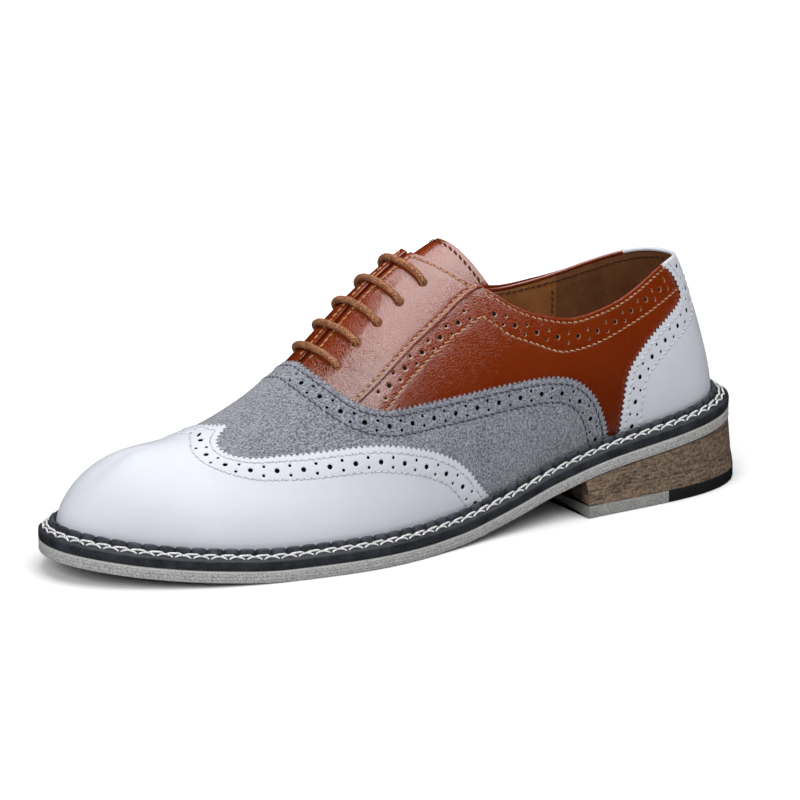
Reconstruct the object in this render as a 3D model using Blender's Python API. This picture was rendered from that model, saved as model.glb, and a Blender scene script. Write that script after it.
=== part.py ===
"""Left wing-tip brogue oxford on a stitched welt, modelled as separate solids.

All tables are in millimetres in the lastmaker's frame: x runs forward from the back of
the sole, y toward the outer (lateral) side, z up from the floor. The solids are scaled to
metres and centred on the shoe's plan as they are made.
"""
import bpy
import bmesh
import numpy as np
from mathutils import Matrix, Vector

MM = 0.001
WELD = 0.00001

# Driving sizes of the shoe
LENGTH = 300.0
OUTSOLE_THICK = 4.8
WELT_EDGE = 3.8
PART_GAP = 0.3
UPPER_WALL = 2.0
OVERLAY_GAP = 0.55
WING_THICK = 1.3
VAMP_THICK = 1.1
COUNTER_THICK = 1.1
FACING_THICK = 0.9
HEEL_BREAST = 87.0
LIFT_HEIGHT = 5.0
LIFT_SPLIT = 48.0
HEEL_FLARE = 1.2
THROAT_X = 193.0
FACING_GAP = 2.6
WELT_CLEAR = 0.018
EYELET_RADIUS = 1.8
LACE_RADIUS = 1.5
LACE_SAG = 0.0125

# Ribs on each side of the shoe, rows up each rib
RIBS = 36
UPPER_ROWS = 9

# Plan of the sole edge: x, lateral y, medial y
OUTLINE = np.array([
    (0.0, 0.0, 0.0),
    (7.0, 20.0, -20.0),
    (35.0, 34.0, -32.0),
    (72.0, 36.6, -30.5),
    (110.0, 39.1, -29.5),
    (150.0, 45.7, -35.5),
    (185.0, 51.2, -45.0),
    (215.0, 48.7, -50.5),
    (245.0, 41.9, -48.0),
    (272.0, 29.5, -39.3),
    (290.0, 15.6, -28.3),
    (300.0, -6.0, -6.0),
])

# Underside of the outsole, from heel seat through shank and tread to toe spring: x, z
UNDERSIDE = np.array([
    (0.0, 25.3),
    (36.0, 21.6),
    (72.0, 17.4),
    (100.0, 11.7),
    (125.0, 5.2),
    (150.0, 0.9),
    (172.0, 0.0),
    (226.0, 0.0),
    (250.0, 1.5),
    (275.0, 3.9),
    (300.0, 7.4),
])

# Top ridge of the last, carried on over the ankle so that the collar can be trimmed: x, z
CREST = np.array([
    (40.0, 130.0),
    (60.0, 129.5),
    (80.0, 128.0),
    (100.0, 124.3),
    (120.0, 117.5),
    (135.0, 111.0),
    (147.0, 105.0),
    (158.0, 98.3),
    (168.0, 91.0),
    (180.0, 80.5),
    (191.0, 71.0),
    (202.0, 63.5),
    (213.0, 57.5),
    (225.0, 52.0),
    (237.0, 48.2),
    (250.0, 46.2),
    (260.0, 45.8),
])

# Sections of the last, one row each: x of the foot on the sole edge, x where the rib meets
# the crest, inset of the foot from the sole edge, then for the lateral and the medial side
# the outward lean of the wall in degrees, its rise and the reach of its shoulder
SECTIONS = np.array([
    (0.0, 45.0, 8.6, 6.0, 16.5, 11.5, 6.0, 16.5, 11.5),
    (7.0, 48.0, 8.4, 7.5, 17.0, 10.5, 8.0, 17.5, 11.0),
    (35.0, 62.0, 7.4, 12.0, 20.5, 13.0, 12.5, 21.0, 15.0),
    (72.0, 82.0, 6.8, 17.0, 27.5, 22.0, 17.5, 30.0, 27.0),
    (110.0, 112.0, 6.5, 17.0, 29.0, 27.0, 17.5, 31.5, 30.0),
    (150.0, 148.0, 6.5, 7.5, 22.5, 26.0, 7.0, 25.0, 27.0),
    (185.0, 178.0, 6.5, 7.5, 18.5, 25.0, 9.0, 18.0, 24.0),
    (215.0, 206.0, 6.5, 10.0, 16.5, 20.0, 11.5, 16.0, 19.0),
    (245.0, 232.0, 6.5, 12.0, 16.0, 18.5, 11.5, 14.0, 18.0),
    (272.0, 249.0, 6.8, 11.0, 13.5, 19.5, 10.5, 14.5, 20.5),
    (290.0, 256.5, 7.2, 7.5, 10.5, 20.5, 7.0, 10.5, 22.5),
    (300.0, 258.0, 7.4, 5.0, 7.5, 17.5, 5.0, 7.5, 17.5),
])

# Side view of the collar and of the top of the facings: x, z
TOPLINE = np.array([
    (15.0, 90.5),
    (30.0, 91.0),
    (40.0, 89.1),
    (53.0, 85.0),
    (66.0, 81.4),
    (79.0, 79.3),
    (91.0, 78.9),
    (97.0, 80.1),
    (107.0, 83.1),
    (116.0, 87.7),
    (124.5, 93.6),
    (132.0, 98.0),
    (139.0, 103.2),
    (145.0, 106.0),
    (153.0, 110.0),
])

# Edge of the wing cap from its peak to its end at the welt, in shares round the last (0 heel,
# 1 toe) and heights up the rib (0 foot, 1 crest): share of the foot, share and height
WING = np.array([
    (0.745, 0.705, 1.000),
    (0.735, 0.711, 0.900),
    (0.726, 0.716, 0.805),
    (0.715, 0.716, 0.710),
    (0.698, 0.702, 0.631),
    (0.670, 0.672, 0.567),
    (0.636, 0.638, 0.514),
    (0.599, 0.599, 0.456),
    (0.566, 0.566, 0.397),
    (0.535, 0.535, 0.334),
    (0.509, 0.509, 0.275),
    (0.488, 0.488, 0.206),
    (0.475, 0.475, 0.133),
    (0.464, 0.464, 0.056),
    (0.459, 0.459, 0.018),
])

# Upper edge of the vamp, from the tip of the wing along the crest to the throat, down
# beside the facing and back to the welt: share and height
VAMP_EDGE = np.array([
    (0.702, 1.000),
    (0.683, 1.000),
    (0.660, 1.000),
    (0.637, 1.000),
    (0.614, 1.000),
    (0.611, 0.898),
    (0.603, 0.774),
    (0.591, 0.655),
    (0.576, 0.563),
    (0.553, 0.492),
    (0.521, 0.448),
    (0.481, 0.406),
    (0.436, 0.362),
    (0.402, 0.326),
    (0.377, 0.292),
    (0.357, 0.241),
    (0.342, 0.166),
    (0.333, 0.080),
    (0.328, 0.018),
])

# Heel counter, from the collar down to the welt: share and height of its edge
COUNTER_EDGE = np.array([
    (0.176, 0.520),
    (0.153, 0.480),
    (0.146, 0.435),
    (0.160, 0.405),
    (0.211, 0.373),
    (0.258, 0.334),
    (0.289, 0.286),
    (0.305, 0.236),
    (0.311, 0.175),
    (0.314, 0.105),
    (0.315, 0.018),
])

# Facing from the vamp to the collar: share and height of its seam, of its middle and share
# at the lacing gap
FACING = np.array([
    (0.566, 0.594, 0.590, 0.793, 0.603),
    (0.555, 0.599, 0.572, 0.805, 0.586),
    (0.535, 0.613, 0.549, 0.815, 0.56),
    (0.516, 0.627, 0.525, 0.822, 0.536),
    (0.491, 0.642, 0.502, 0.829, 0.514),
    (0.470, 0.661, 0.487, 0.834, 0.503),
    (0.454, 0.670, 0.478, 0.826, 0.4975),
])

# Eyelets of each row, from the throat up: share and height
EYELETS = np.array([
    (0.589, 0.792),
    (0.568, 0.802),
    (0.546, 0.797),
    (0.522, 0.799),
    (0.497, 0.802),
])

# Tongue: share where it starts, share of its top at the middle and at the sides, height
# of its side edges, depth of its face below the last at the start and at the top
TONGUE_START = 0.622
TONGUE_TOP_MIDDLE = 0.461
TONGUE_TOP_SIDE = 0.438
TONGUE_SIDE = 0.66
TONGUE_DEPTH = (2.5, 3.3)
TONGUE_THICK = 1.6

# Finishes: name, colour, roughness
FINISHES = {
    "tan_leather": ((0.30, 0.075, 0.025, 1.0), 0.30),
    "grey_suede": ((0.20, 0.21, 0.24, 1.0), 0.90),
    "white_leather": ((0.78, 0.79, 0.82, 1.0), 0.35),
    "lining_leather": ((0.45, 0.28, 0.13, 1.0), 0.60),
    "welt_leather": ((0.025, 0.026, 0.030, 1.0), 0.50),
    "sole_edge": ((0.34, 0.34, 0.33, 1.0), 0.70),
    "stacked_heel": ((0.16, 0.11, 0.07, 1.0), 0.60),
    "lift_black": ((0.012, 0.012, 0.013, 1.0), 0.55),
    "lift_grey": ((0.36, 0.36, 0.35, 1.0), 0.65),
    "lace_cord": ((0.33, 0.15, 0.06, 1.0), 0.65),
}


def curve_through(knots, rows, period=None):
    """Cubic spline through rows at rising knots, with natural ends or closed over a period."""
    knots = np.asarray(knots, float)
    rows = np.asarray(rows, float).reshape(len(knots), -1)
    if period:
        knots = np.append(knots, knots[0] + period)
        rows = np.vstack([rows, rows[:1]])
    last = len(knots) - 1
    step = np.diff(knots)
    rise = np.diff(rows, axis=0) / step[:, None]
    system = np.eye(last + 1)
    change = np.zeros_like(rows)
    for i in range(1, last):
        system[i, i - 1:i + 2] = step[i - 1], 2.0 * (step[i - 1] + step[i]), step[i]
        change[i] = 6.0 * (rise[i] - rise[i - 1])
    if period:
        system[0, last] = -1.0
        system[last, :] = 0.0
        system[last, 0] = 2.0 * (step[0] + step[-1])
        system[last, 1] = step[0]
        system[last, last - 1] = step[-1]
        change[last] = 6.0 * (rise[0] - rise[-1])
    bend = np.linalg.solve(system, change)

    def value(place):
        place = np.asarray(place, float)
        if period:
            place = knots[0] + (place - knots[0]) % period
        place = np.clip(place, knots[0], knots[-1])
        k = np.clip(np.searchsorted(knots, place, side="right") - 1, 0, last - 1)
        width = step[k][..., None]
        ahead = (place - knots[k])[..., None]
        behind = width - ahead
        curved = (bend[k] * behind ** 3 + bend[k + 1] * ahead ** 3) / (6.0 * width)
        straight = rows[k] * behind + rows[k + 1] * ahead
        return curved + straight / width - width * (bend[k] * behind + bend[k + 1] * ahead) / 6.0

    return value


def flat_keeping_curve(rows):
    """Piecewise cubic through (x, z) rows that never overshoots, so level rows stay level."""
    x, z = rows.T
    step = np.diff(x)
    rise = np.diff(z) / step
    slope = np.zeros(len(x))
    slope[0], slope[-1] = rise[0], rise[-1]
    both = rise[:-1] * rise[1:] > 0.0
    total = np.where(both, rise[:-1] + rise[1:], 1.0)
    slope[1:-1] = np.where(both, 2.0 * rise[:-1] * rise[1:] / total, 0.0)

    def value(place):
        place = np.clip(place, x[0], x[-1])
        k = np.clip(np.searchsorted(x, place, side="right") - 1, 0, len(step) - 1)
        t = (place - x[k]) / step[k]
        ends = (2.0 * t ** 3 - 3.0 * t ** 2) * (z[k] - z[k + 1]) + z[k]
        return ends + step[k] * (t ** 3 - t ** 2) * slope[k + 1] + step[k] * (
            t ** 3 - 2.0 * t ** 2 + t) * slope[k]

    return value


def share_of(x):
    """Share round the last of a place on its length: 0 at the heel, 1 at the toe."""
    return np.arccos(np.clip(1.0 - 2.0 * np.asarray(x, float) / LENGTH, -1.0, 1.0)) / np.pi


def round_the_last(x, lateral, medial):
    """Knots and rows of a closed spline, up the lateral side and back down the medial one."""
    share = share_of(x)
    knots = np.concatenate([share, 2.0 - share[-2:0:-1]])
    rows = np.concatenate([lateral, medial[-2:0:-1]])
    return curve_through(knots, rows, 2.0)


EDGE_Y = round_the_last(OUTLINE[:, 0], OUTLINE[:, 1], OUTLINE[:, 2])
SOLE_Z = flat_keeping_curve(UNDERSIDE)
CREST_Z = curve_through(CREST[:, 0], CREST[:, 1])
TOP_Z = curve_through(TOPLINE[:, 0], TOPLINE[:, 1])
RIB_SHAPE = round_the_last(SECTIONS[:, 0], SECTIONS[:, [1, 2, 3, 4, 5]], SECTIONS[:, [1, 2, 6, 7, 8]])
FOOT_STACK = OUTSOLE_THICK + WELT_EDGE + 3.0 * PART_GAP


def plan(share, inset):
    """Points of the sole edge at each share, moved in by an inset along the edge's normal."""
    def edge(place):
        x = 0.5 * LENGTH * (1.0 - np.cos(np.pi * place))
        return np.stack([x, EDGE_Y(place)[..., 0]], axis=-1)

    share = np.asarray(share, float)
    along = edge(share + 0.0001) - edge(share - 0.0001)
    outward = np.stack([-along[..., 1], along[..., 0]], axis=-1)
    outward /= np.linalg.norm(outward, axis=-1)[..., None]
    return edge(share) - np.asarray(inset)[..., None] * outward


def rib(share):
    """Four control points of the rib at each share, and the slope of the crest that it meets."""
    crest_x, inset, lean, rise, reach = np.moveaxis(RIB_SHAPE(share), -1, 0)
    lean = np.radians(lean)
    foot = plan(share, inset)
    level = np.zeros_like(crest_x)
    out = foot - np.stack([crest_x, level], axis=-1)
    out /= np.linalg.norm(out, axis=-1)[..., None]
    slope = (CREST_Z(crest_x + 0.5) - CREST_Z(crest_x - 0.5))[..., 0]
    level_z = SOLE_Z(plan(share, np.zeros_like(inset))[..., 0]) + FOOT_STACK
    foot = np.stack([foot[..., 0], foot[..., 1], level_z], axis=-1)
    top = np.stack([crest_x, level, CREST_Z(crest_x)[..., 0]], axis=-1)
    wall = np.stack([out[..., 0] * np.sin(lean), out[..., 1] * np.sin(lean), np.cos(lean)], axis=-1)
    shoulder = np.stack([out[..., 0], out[..., 1], slope * out[..., 0]], axis=-1)
    return foot, foot + rise[..., None] * wall, top + reach[..., None] * shoulder, top, slope


def on_rib(share, height):
    """Points of the last: a cubic curve from the foot of each rib to the crest."""
    foot, wall, shoulder, top, _ = rib(share)
    t = np.asarray(height, float)[..., None]
    low = (1.0 - t) ** 3 * foot + 3.0 * t * (1.0 - t) ** 2 * wall
    return low + 3.0 * t ** 2 * (1.0 - t) * shoulder + t ** 3 * top


def last_surface(share, height, lift=0.0):
    """Points of the last, moved out from it by a lift along its normal."""
    share, height, lift = np.broadcast_arrays(share, height, np.asarray(lift, float))
    share, height = share.astype(float), height.astype(float)
    step = 0.0001
    along = on_rib(share + step, height) - on_rib(share - step, height)
    upward = on_rib(share, height + step) - on_rib(share, height - step)
    normal = np.cross(upward, along)
    slope = rib(share)[4]
    ridge = np.stack([-slope, np.zeros_like(slope), np.ones_like(slope)], axis=-1)
    normal = np.where((height > 0.9999)[..., None], ridge, normal)
    normal /= np.linalg.norm(normal, axis=-1)[..., None]
    return on_rib(share, height) + lift[..., None] * normal


def rim_height(share):
    """Height on each rib of the collar, the lacing gap or, ahead of the throat, the crest."""
    steps = np.linspace(0.3, 1.0, 281)
    points = on_rib(share[:, None], steps[None, :])
    above = points[..., 2] - TOP_Z(points[..., 0])[..., 0]
    inside = np.where(points[..., 0] > HEEL_BREAST, 0.5 * FACING_GAP - np.abs(points[..., 1]), -1.0)
    crest_x = RIB_SHAPE(share)[..., 0]
    past = np.where((crest_x < THROAT_X)[:, None], np.maximum(above, inside), -1.0)
    past = np.where((points[..., 0] > TOPLINE[-1, 0]) & (inside < 0.0), -1.0, past)
    height = np.ones(len(share))
    for i, values in enumerate(past):
        beyond = np.flatnonzero(values > 0.0)
        if len(beyond):
            k = beyond[0]
            part = values[k - 1] / (values[k - 1] - values[k])
            height[i] = steps[k - 1] + part * (steps[k] - steps[k - 1])
    return height


def rib_shares():
    """Shares of the ribs, even round the last, with one exactly at each end of the throat."""
    side = np.linspace(0.0, 1.0, RIBS + 1)
    sharp = np.interp([THROAT_X, 145.2], RIB_SHAPE(side)[:, 0], side)
    for share in sharp:
        side[np.argmin(np.abs(side - share))] = share
    return np.concatenate([side, 2.0 - side[-2:0:-1]])


SHARES = rib_shares()
SOLE_EDGE = plan(SHARES, 0.0 * SHARES)
WIDEST = plan(SHARES, np.where(SOLE_EDGE[:, 0] < HEEL_BREAST, -HEEL_FLARE, 0.0))
CENTRE = 0.5 * (WIDEST.min(axis=0) + WIDEST.max(axis=0))


def finish(name):
    """Material of a finish, made once."""
    material = bpy.data.materials.get(name)
    if material is None:
        material = bpy.data.materials.new(name)
        material.use_nodes = True
        shader = material.node_tree.nodes["Principled BSDF"]
        colour, roughness = FINISHES[name]
        shader.inputs["Base Color"].default_value = colour
        shader.inputs["Roughness"].default_value = roughness
        shader.inputs["Metallic"].default_value = 0.0
    return material


def add_solid(name, points, faces, finish_name):
    """Closed object from points in millimetres; seams are welded and faces turned outward."""
    placed = (np.asarray(points) - np.append(CENTRE, 0.0)) * MM
    mesh = bpy.data.meshes.new(name)
    mesh.from_pydata(placed.tolist(), [], faces)
    body = bmesh.new()
    body.from_mesh(mesh)
    bmesh.ops.remove_doubles(body, verts=body.verts, dist=WELD)
    bmesh.ops.dissolve_degenerate(body, edges=body.edges, dist=WELD)
    bmesh.ops.triangulate(body, faces=body.faces)
    bmesh.ops.recalc_face_normals(body, faces=body.faces)
    if body.calc_volume(signed=True) < 0.0:
        bmesh.ops.reverse_faces(body, faces=body.faces)
    body.to_mesh(mesh)
    body.free()
    mesh.shade_smooth()
    mesh.set_sharp_from_angle(angle=np.radians(35.0))
    mesh.materials.append(finish(finish_name))
    solid = bpy.data.objects.new(name, mesh)
    bpy.context.scene.collection.objects.link(solid)
    return solid


def quads(grid, wrap=False):
    """Faces of a grid of point numbers, closed along its first axis when wrapped."""
    after = np.roll(grid, -1, axis=0) if wrap else grid[1:]
    before = grid if wrap else grid[:-1]
    corners = (before[:, :-1], after[:, :-1], after[:, 1:], before[:, 1:])
    return np.stack(corners, axis=-1).reshape(-1, 4).tolist()


def add_shell(name, outer, inner, finish_name, wrap=False, crest=None):
    """Wall between two grids of points, with rims round its free edges.

    crest marks the ribs whose last point lies on the crest, where both sides are welded.
    """
    ribs, rows = outer.shape[:2]
    front = np.arange(ribs * rows).reshape(ribs, rows)
    back = front + ribs * rows
    faces = quads(front, wrap) + quads(back[:, ::-1], wrap)
    faces += quads(np.stack([back[:, 0], front[:, 0]], axis=1), wrap)
    top = quads(np.stack([front[:, -1], back[:, -1]], axis=1), wrap)
    if crest is not None:
        joined = crest & np.roll(crest, -1)
        top = [face for face, shut in zip(top, joined) if not shut]
    faces += top
    if not wrap:
        faces += quads(np.stack([front[0], back[0]], axis=1))
        faces += quads(np.stack([back[-1], front[-1]], axis=1))
    points = np.concatenate([outer.reshape(-1, 3), inner.reshape(-1, 3)])
    return add_solid(name, points, faces, finish_name)


def add_layers(name, rings, finish_name):
    """Solid through a stack of rings, each closed across by strips from side to side."""
    count = len(rings[0])
    grid = np.arange(count * len(rings)).reshape(len(rings), count).T
    faces = quads(grid, wrap=True)
    for level in (grid[:, 0], grid[:, -1]):
        for k in range(count // 2):
            strip = [level[k], level[k + 1], level[count - 1 - k], level[(count - k) % count]]
            faces.append([int(n) for n in dict.fromkeys(strip)])
    return add_solid(name, np.concatenate(rings), faces, finish_name)


def sole_ring(inset, rise):
    """Ring round the sole at an inset, a rise above the outsole's underside."""
    edge = plan(SHARES, np.zeros(len(SHARES)) + inset)
    return np.column_stack([edge, SOLE_Z(SOLE_EDGE[:, 0]) + rise])


def add_outsole():
    """Outsole with its tread edge, side and seam edge rounded off."""
    rings = [
        sole_ring(0.8, 0.0),
        sole_ring(0.0, 0.8),
        sole_ring(0.0, OUTSOLE_THICK - 0.5),
        sole_ring(0.5, OUTSOLE_THICK),
    ]
    return add_layers("outsole", rings, "sole_edge")


def add_welt():
    """Storm welt: edge, sloping stitched top, raised rand against the upper and inner lip."""
    base = OUTSOLE_THICK + PART_GAP
    lip = base + WELT_EDGE + PART_GAP
    foot, wall, _, _, _ = rib(SHARES)
    lean = (wall - foot) / np.linalg.norm(wall - foot, axis=1)[:, None]
    tilt = lean[:, :2] / lean[:, 2:]
    out = SOLE_EDGE - plan(SHARES, 0.0 * SHARES + 1.0)

    def beside(clear, rise):
        over = foot[:, :2] + clear * out + np.maximum(rise - FOOT_STACK, 0.0) * tilt
        return np.column_stack([over, SOLE_Z(SOLE_EDGE[:, 0]) + rise])

    profile = [
        sole_ring(0.0, base),
        sole_ring(0.0, base + WELT_EDGE - 0.4),
        sole_ring(0.4, base + WELT_EDGE),
        beside(3.9, base + 5.8),
        beside(3.9, base + 7.2),
        beside(3.0, base + 7.9),
        beside(2.2, base + 7.3),
        beside(2.2, lip),
        beside(-4.0, lip),
        beside(-4.0, base),
    ]
    loop = np.stack(profile + profile[:1], axis=1)
    grid = np.arange(loop.shape[0] * loop.shape[1]).reshape(loop.shape[:2])
    return add_solid("welt", loop.reshape(-1, 3), quads(grid, wrap=True), "welt_leather")


def add_insole():
    """Insole: a plug on the outsole inside the welt and a board over the welt's lip."""
    inset = RIB_SHAPE(SHARES)[:, 1]
    lip = OUTSOLE_THICK + WELT_EDGE + 2.0 * PART_GAP
    rings = [
        sole_ring(inset + 4.9, OUTSOLE_THICK + PART_GAP),
        sole_ring(inset + 4.9, lip + PART_GAP),
        sole_ring(inset + 2.7, lip + PART_GAP),
        sole_ring(inset + 3.0, lip + PART_GAP + 2.4),
    ]
    return add_layers("insole", rings, "lining_leather")


def heel_ring(low_x, high_x, flare, height):
    """Ring of the heel between two places on its length, flared out from the sole edge.

    height is a level in millimetres, or None for the level just under the outsole.
    """
    side = SHARES[:RIBS]
    x = plan(side, 0.0 * side)[:, 0]
    inner = side[(x > low_x + 2.0) & (x < high_x - 2.0)]
    ends = share_of([low_x, high_x])
    lateral = np.concatenate([ends[:1] if low_x > 0.0 else [], inner, ends[1:]])
    medial = 2.0 - lateral[::-1]
    shares = np.concatenate([[0.0] if low_x <= 0.0 else [], lateral, medial])
    sole = plan(shares, 0.0 * shares)
    edge = plan(shares, 0.0 * shares - flare)
    edge[:, 0] = np.clip(edge[:, 0], low_x if low_x > 0.0 else -flare, high_x)
    if height is None:
        level = SOLE_Z(sole[:, 0]) - PART_GAP
    else:
        level = np.full(len(shares), height)
    return np.column_stack([edge, level])


def add_heel():
    """Stacked heel wedge over a two-part lift: plain in front, hard-wearing behind."""
    top = LIFT_HEIGHT + PART_GAP
    stack = [
        heel_ring(0.0, HEEL_BREAST, HEEL_FLARE, top),
        heel_ring(0.0, HEEL_BREAST, 0.0, None),
    ]
    add_layers("heel_stack", stack, "stacked_heel")
    for name, low_x, high_x, colour in (
        ("heel_lift_rear", 0.0, LIFT_SPLIT - 0.5 * PART_GAP, "lift_black"),
        ("heel_lift_front", LIFT_SPLIT + 0.5 * PART_GAP, HEEL_BREAST, "lift_grey"),
    ):
        rings = [
            heel_ring(low_x, high_x, HEEL_FLARE - 0.5, 0.0),
            heel_ring(low_x, high_x, HEEL_FLARE, 0.5),
            heel_ring(low_x, high_x, HEEL_FLARE, LIFT_HEIGHT),
        ]
        add_layers(name, rings, colour)


def add_eyelet_punch():
    """Cutter for the two rows of eyelet holes, square to the last at each one."""
    body = bmesh.new()
    for side in (1, -1):
        for share, height in EYELETS:
            place = share if side > 0 else 2.0 - share
            low, high = last_surface(np.array([place, place]), np.array([height, height]), [-4.0, 4.0])
            axis = Vector(high - low)
            middle = Vector((0.5 * (low + high) - np.append(CENTRE, 0.0)) * MM)
            turn = axis.to_track_quat("Z", "Y").to_matrix().to_4x4()
            bmesh.ops.create_cone(
                body, cap_ends=True, segments=10, radius1=EYELET_RADIUS * MM,
                radius2=EYELET_RADIUS * MM, depth=axis.length * MM,
                matrix=Matrix.Translation(middle) @ turn)
    mesh = bpy.data.meshes.new("eyelet_punch")
    body.to_mesh(mesh)
    body.free()
    punch = bpy.data.objects.new("eyelet_punch", mesh)
    bpy.context.scene.collection.objects.link(punch)
    punch.display_type = "WIRE"
    punch.hide_render = True
    return punch


def punch_holes(solid, punch):
    """Exact boolean cut of the eyelets through a solid."""
    cut = solid.modifiers.new("eyelets", "BOOLEAN")
    cut.operation = "DIFFERENCE"
    cut.solver = "EXACT"
    cut.object = punch


def add_upper(punch):
    """Upper: one hollow wall round the last, open at collar, throat and underneath."""
    rim = rim_height(SHARES)
    rows = np.linspace(0.0, 1.0, UPPER_ROWS + 1)
    height = rim[:, None] * rows[None, :]
    share = np.repeat(SHARES[:, None], len(rows), axis=1)
    outer = last_surface(share, height)
    inner = last_surface(share, height, -UPPER_WALL)
    upper = add_shell("upper", outer, inner, "tan_leather", wrap=True, crest=rim > 0.9999)
    punch_holes(upper, punch)


def between_rows(rows, count):
    """Rows filled in evenly by number along a smooth curve, kept below the crest."""
    filled = curve_through(np.arange(len(rows)), rows)(np.linspace(0.0, len(rows) - 1.0, count))
    return np.minimum(filled, 1.0)


def moved_edge(rows, distance):
    """Edge given as share and height, moved sideways by about a distance in millimetres."""
    scale = np.array([330.0, 62.0])
    flat = rows * scale
    along = np.gradient(flat, axis=0)
    side = np.column_stack([along[:, 1], -along[:, 0]])
    side /= np.linalg.norm(side, axis=1)[:, None]
    moved = (flat + distance * side) / scale
    moved[:, 1] = np.minimum(moved[:, 1], 1.0)
    return moved


def add_wing_cap():
    """Wing cap wrapped round the toe from welt to welt, with its peak on the crest."""
    toe_foot = np.linspace(1.0, WING[0, 0], 15)[:-1]
    toe_edge = 1.0 - (1.0 - toe_foot) * (1.0 - WING[0, 1]) / (1.0 - WING[0, 0])
    toe = np.column_stack([toe_foot, toe_edge, np.ones(len(toe_foot))])
    side = np.vstack([toe, WING])
    rows = np.linspace(0.0, 1.0, 8)
    share = side[:, :1] + (side[:, 1:2] - side[:, :1]) * rows ** 3
    height = WELT_CLEAR + (side[:, 2:] - WELT_CLEAR) * rows
    share = np.concatenate([share[::-1], 2.0 - share[1:]])
    height = np.concatenate([height[::-1], height[1:]])
    outer = last_surface(share, height, OVERLAY_GAP + WING_THICK)
    inner = last_surface(share, height, OVERLAY_GAP)
    add_shell("wing_cap", outer, inner, "white_leather", crest=height[:, -1] > 0.9999)


def add_vamp():
    """Vamp between the wing cap and the facings, its ends running back along the welt."""
    wing = moved_edge(WING[:, 1:], 0.6)
    wing[0] = VAMP_EDGE[0]
    along_welt = np.column_stack([np.linspace(0.432, 0.334, 4), np.full(4, WELT_CLEAR)])
    lower = np.vstack([wing, along_welt])
    rows = np.linspace(0.0, 1.0, 6)
    grid = lower[:, None, :] + (VAMP_EDGE - lower)[:, None, :] * rows[None, :, None]
    share = np.concatenate([grid[::-1, :, 0], 2.0 - grid[1:, :, 0]])
    height = np.concatenate([grid[::-1, :, 1], grid[1:, :, 1]])
    outer = last_surface(share, height, OVERLAY_GAP + VAMP_THICK)
    inner = last_surface(share, height, OVERLAY_GAP)
    add_shell("vamp", outer, inner, "grey_suede", crest=height[:, -1] > 0.9999)


def add_counter():
    """Heel counter wrapped round the back of the upper from collar to welt."""
    edge = between_rows(COUNTER_EDGE, 11)
    across = np.linspace(-1.0, 1.0, 17)
    share = edge[:, :1] * across
    collar = rim_height(share[0] % 2.0) - 0.006
    below = np.linspace(0.0, 1.0, len(edge))
    lowered = collar[None, :] + (edge[-1, 1] - collar[None, :]) * below[:, None]
    flat = np.repeat(edge[:, 1:], len(across), axis=1)
    height = flat + (lowered - flat) * (1.0 - below[:, None]) ** 3
    outer = last_surface(share, height, OVERLAY_GAP + COUNTER_THICK)
    inner = last_surface(share, height, OVERLAY_GAP)
    add_shell("heel_counter", outer, inner, "white_leather")


def add_facings(punch):
    """Facings that carry the eyelets, on each side of the lacing gap."""
    rows = between_rows(FACING, 13)
    across = np.linspace(0.0, 1.0, 6)[None, :]
    gap = rim_height(rows[:, 4])
    middle = np.column_stack([rows[:, 2], rows[:, 3] * 0.5 + 0.25 * (rows[:, 1] + gap)])
    start, end = rows[:, :2], np.column_stack([rows[:, 4], gap])
    weights = ((1.0 - across) ** 2, 2.0 * across * (1.0 - across), across ** 2)
    turn = 2.0 * middle - 0.5 * (start + end)
    grid = sum(w[..., None] * p[:, None, :] for w, p in zip(weights, (start, turn, end)))
    for name, lateral in (("facing_lateral", True), ("facing_medial", False)):
        share = grid[..., 0] if lateral else 2.0 - grid[..., 0]
        outer = last_surface(share, grid[..., 1], OVERLAY_GAP + FACING_THICK)
        inner = last_surface(share, grid[..., 1], OVERLAY_GAP)
        punch_holes(add_shell(name, outer, inner, "tan_leather"), punch)


def add_tongue():
    """Tongue under the facings, standing up above the collar in front of the ankle."""
    across = np.linspace(-1.0, 1.0, 11)[None, :]
    along = np.linspace(0.0, 1.0, 10)[:, None]
    height = 1.0 - (1.0 - TONGUE_SIDE) * np.abs(across) * (0.8 + 0.2 * along)
    top = TONGUE_TOP_MIDDLE + (TONGUE_TOP_SIDE - TONGUE_TOP_MIDDLE) * np.abs(across) ** 1.5
    share = TONGUE_START + (top - TONGUE_START) * along
    depth = TONGUE_DEPTH[0] + (TONGUE_DEPTH[1] - TONGUE_DEPTH[0]) * np.minimum(4.0 * along, 1.0)
    share, height, depth = np.broadcast_arrays(share, height, depth)
    share = np.where(across < 0.0, 2.0 - share, share)
    outer = last_surface(share, height, -depth)
    inner = last_surface(share, height, -depth - TONGUE_THICK)
    add_shell("tongue", outer, inner, "tan_leather")


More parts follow.
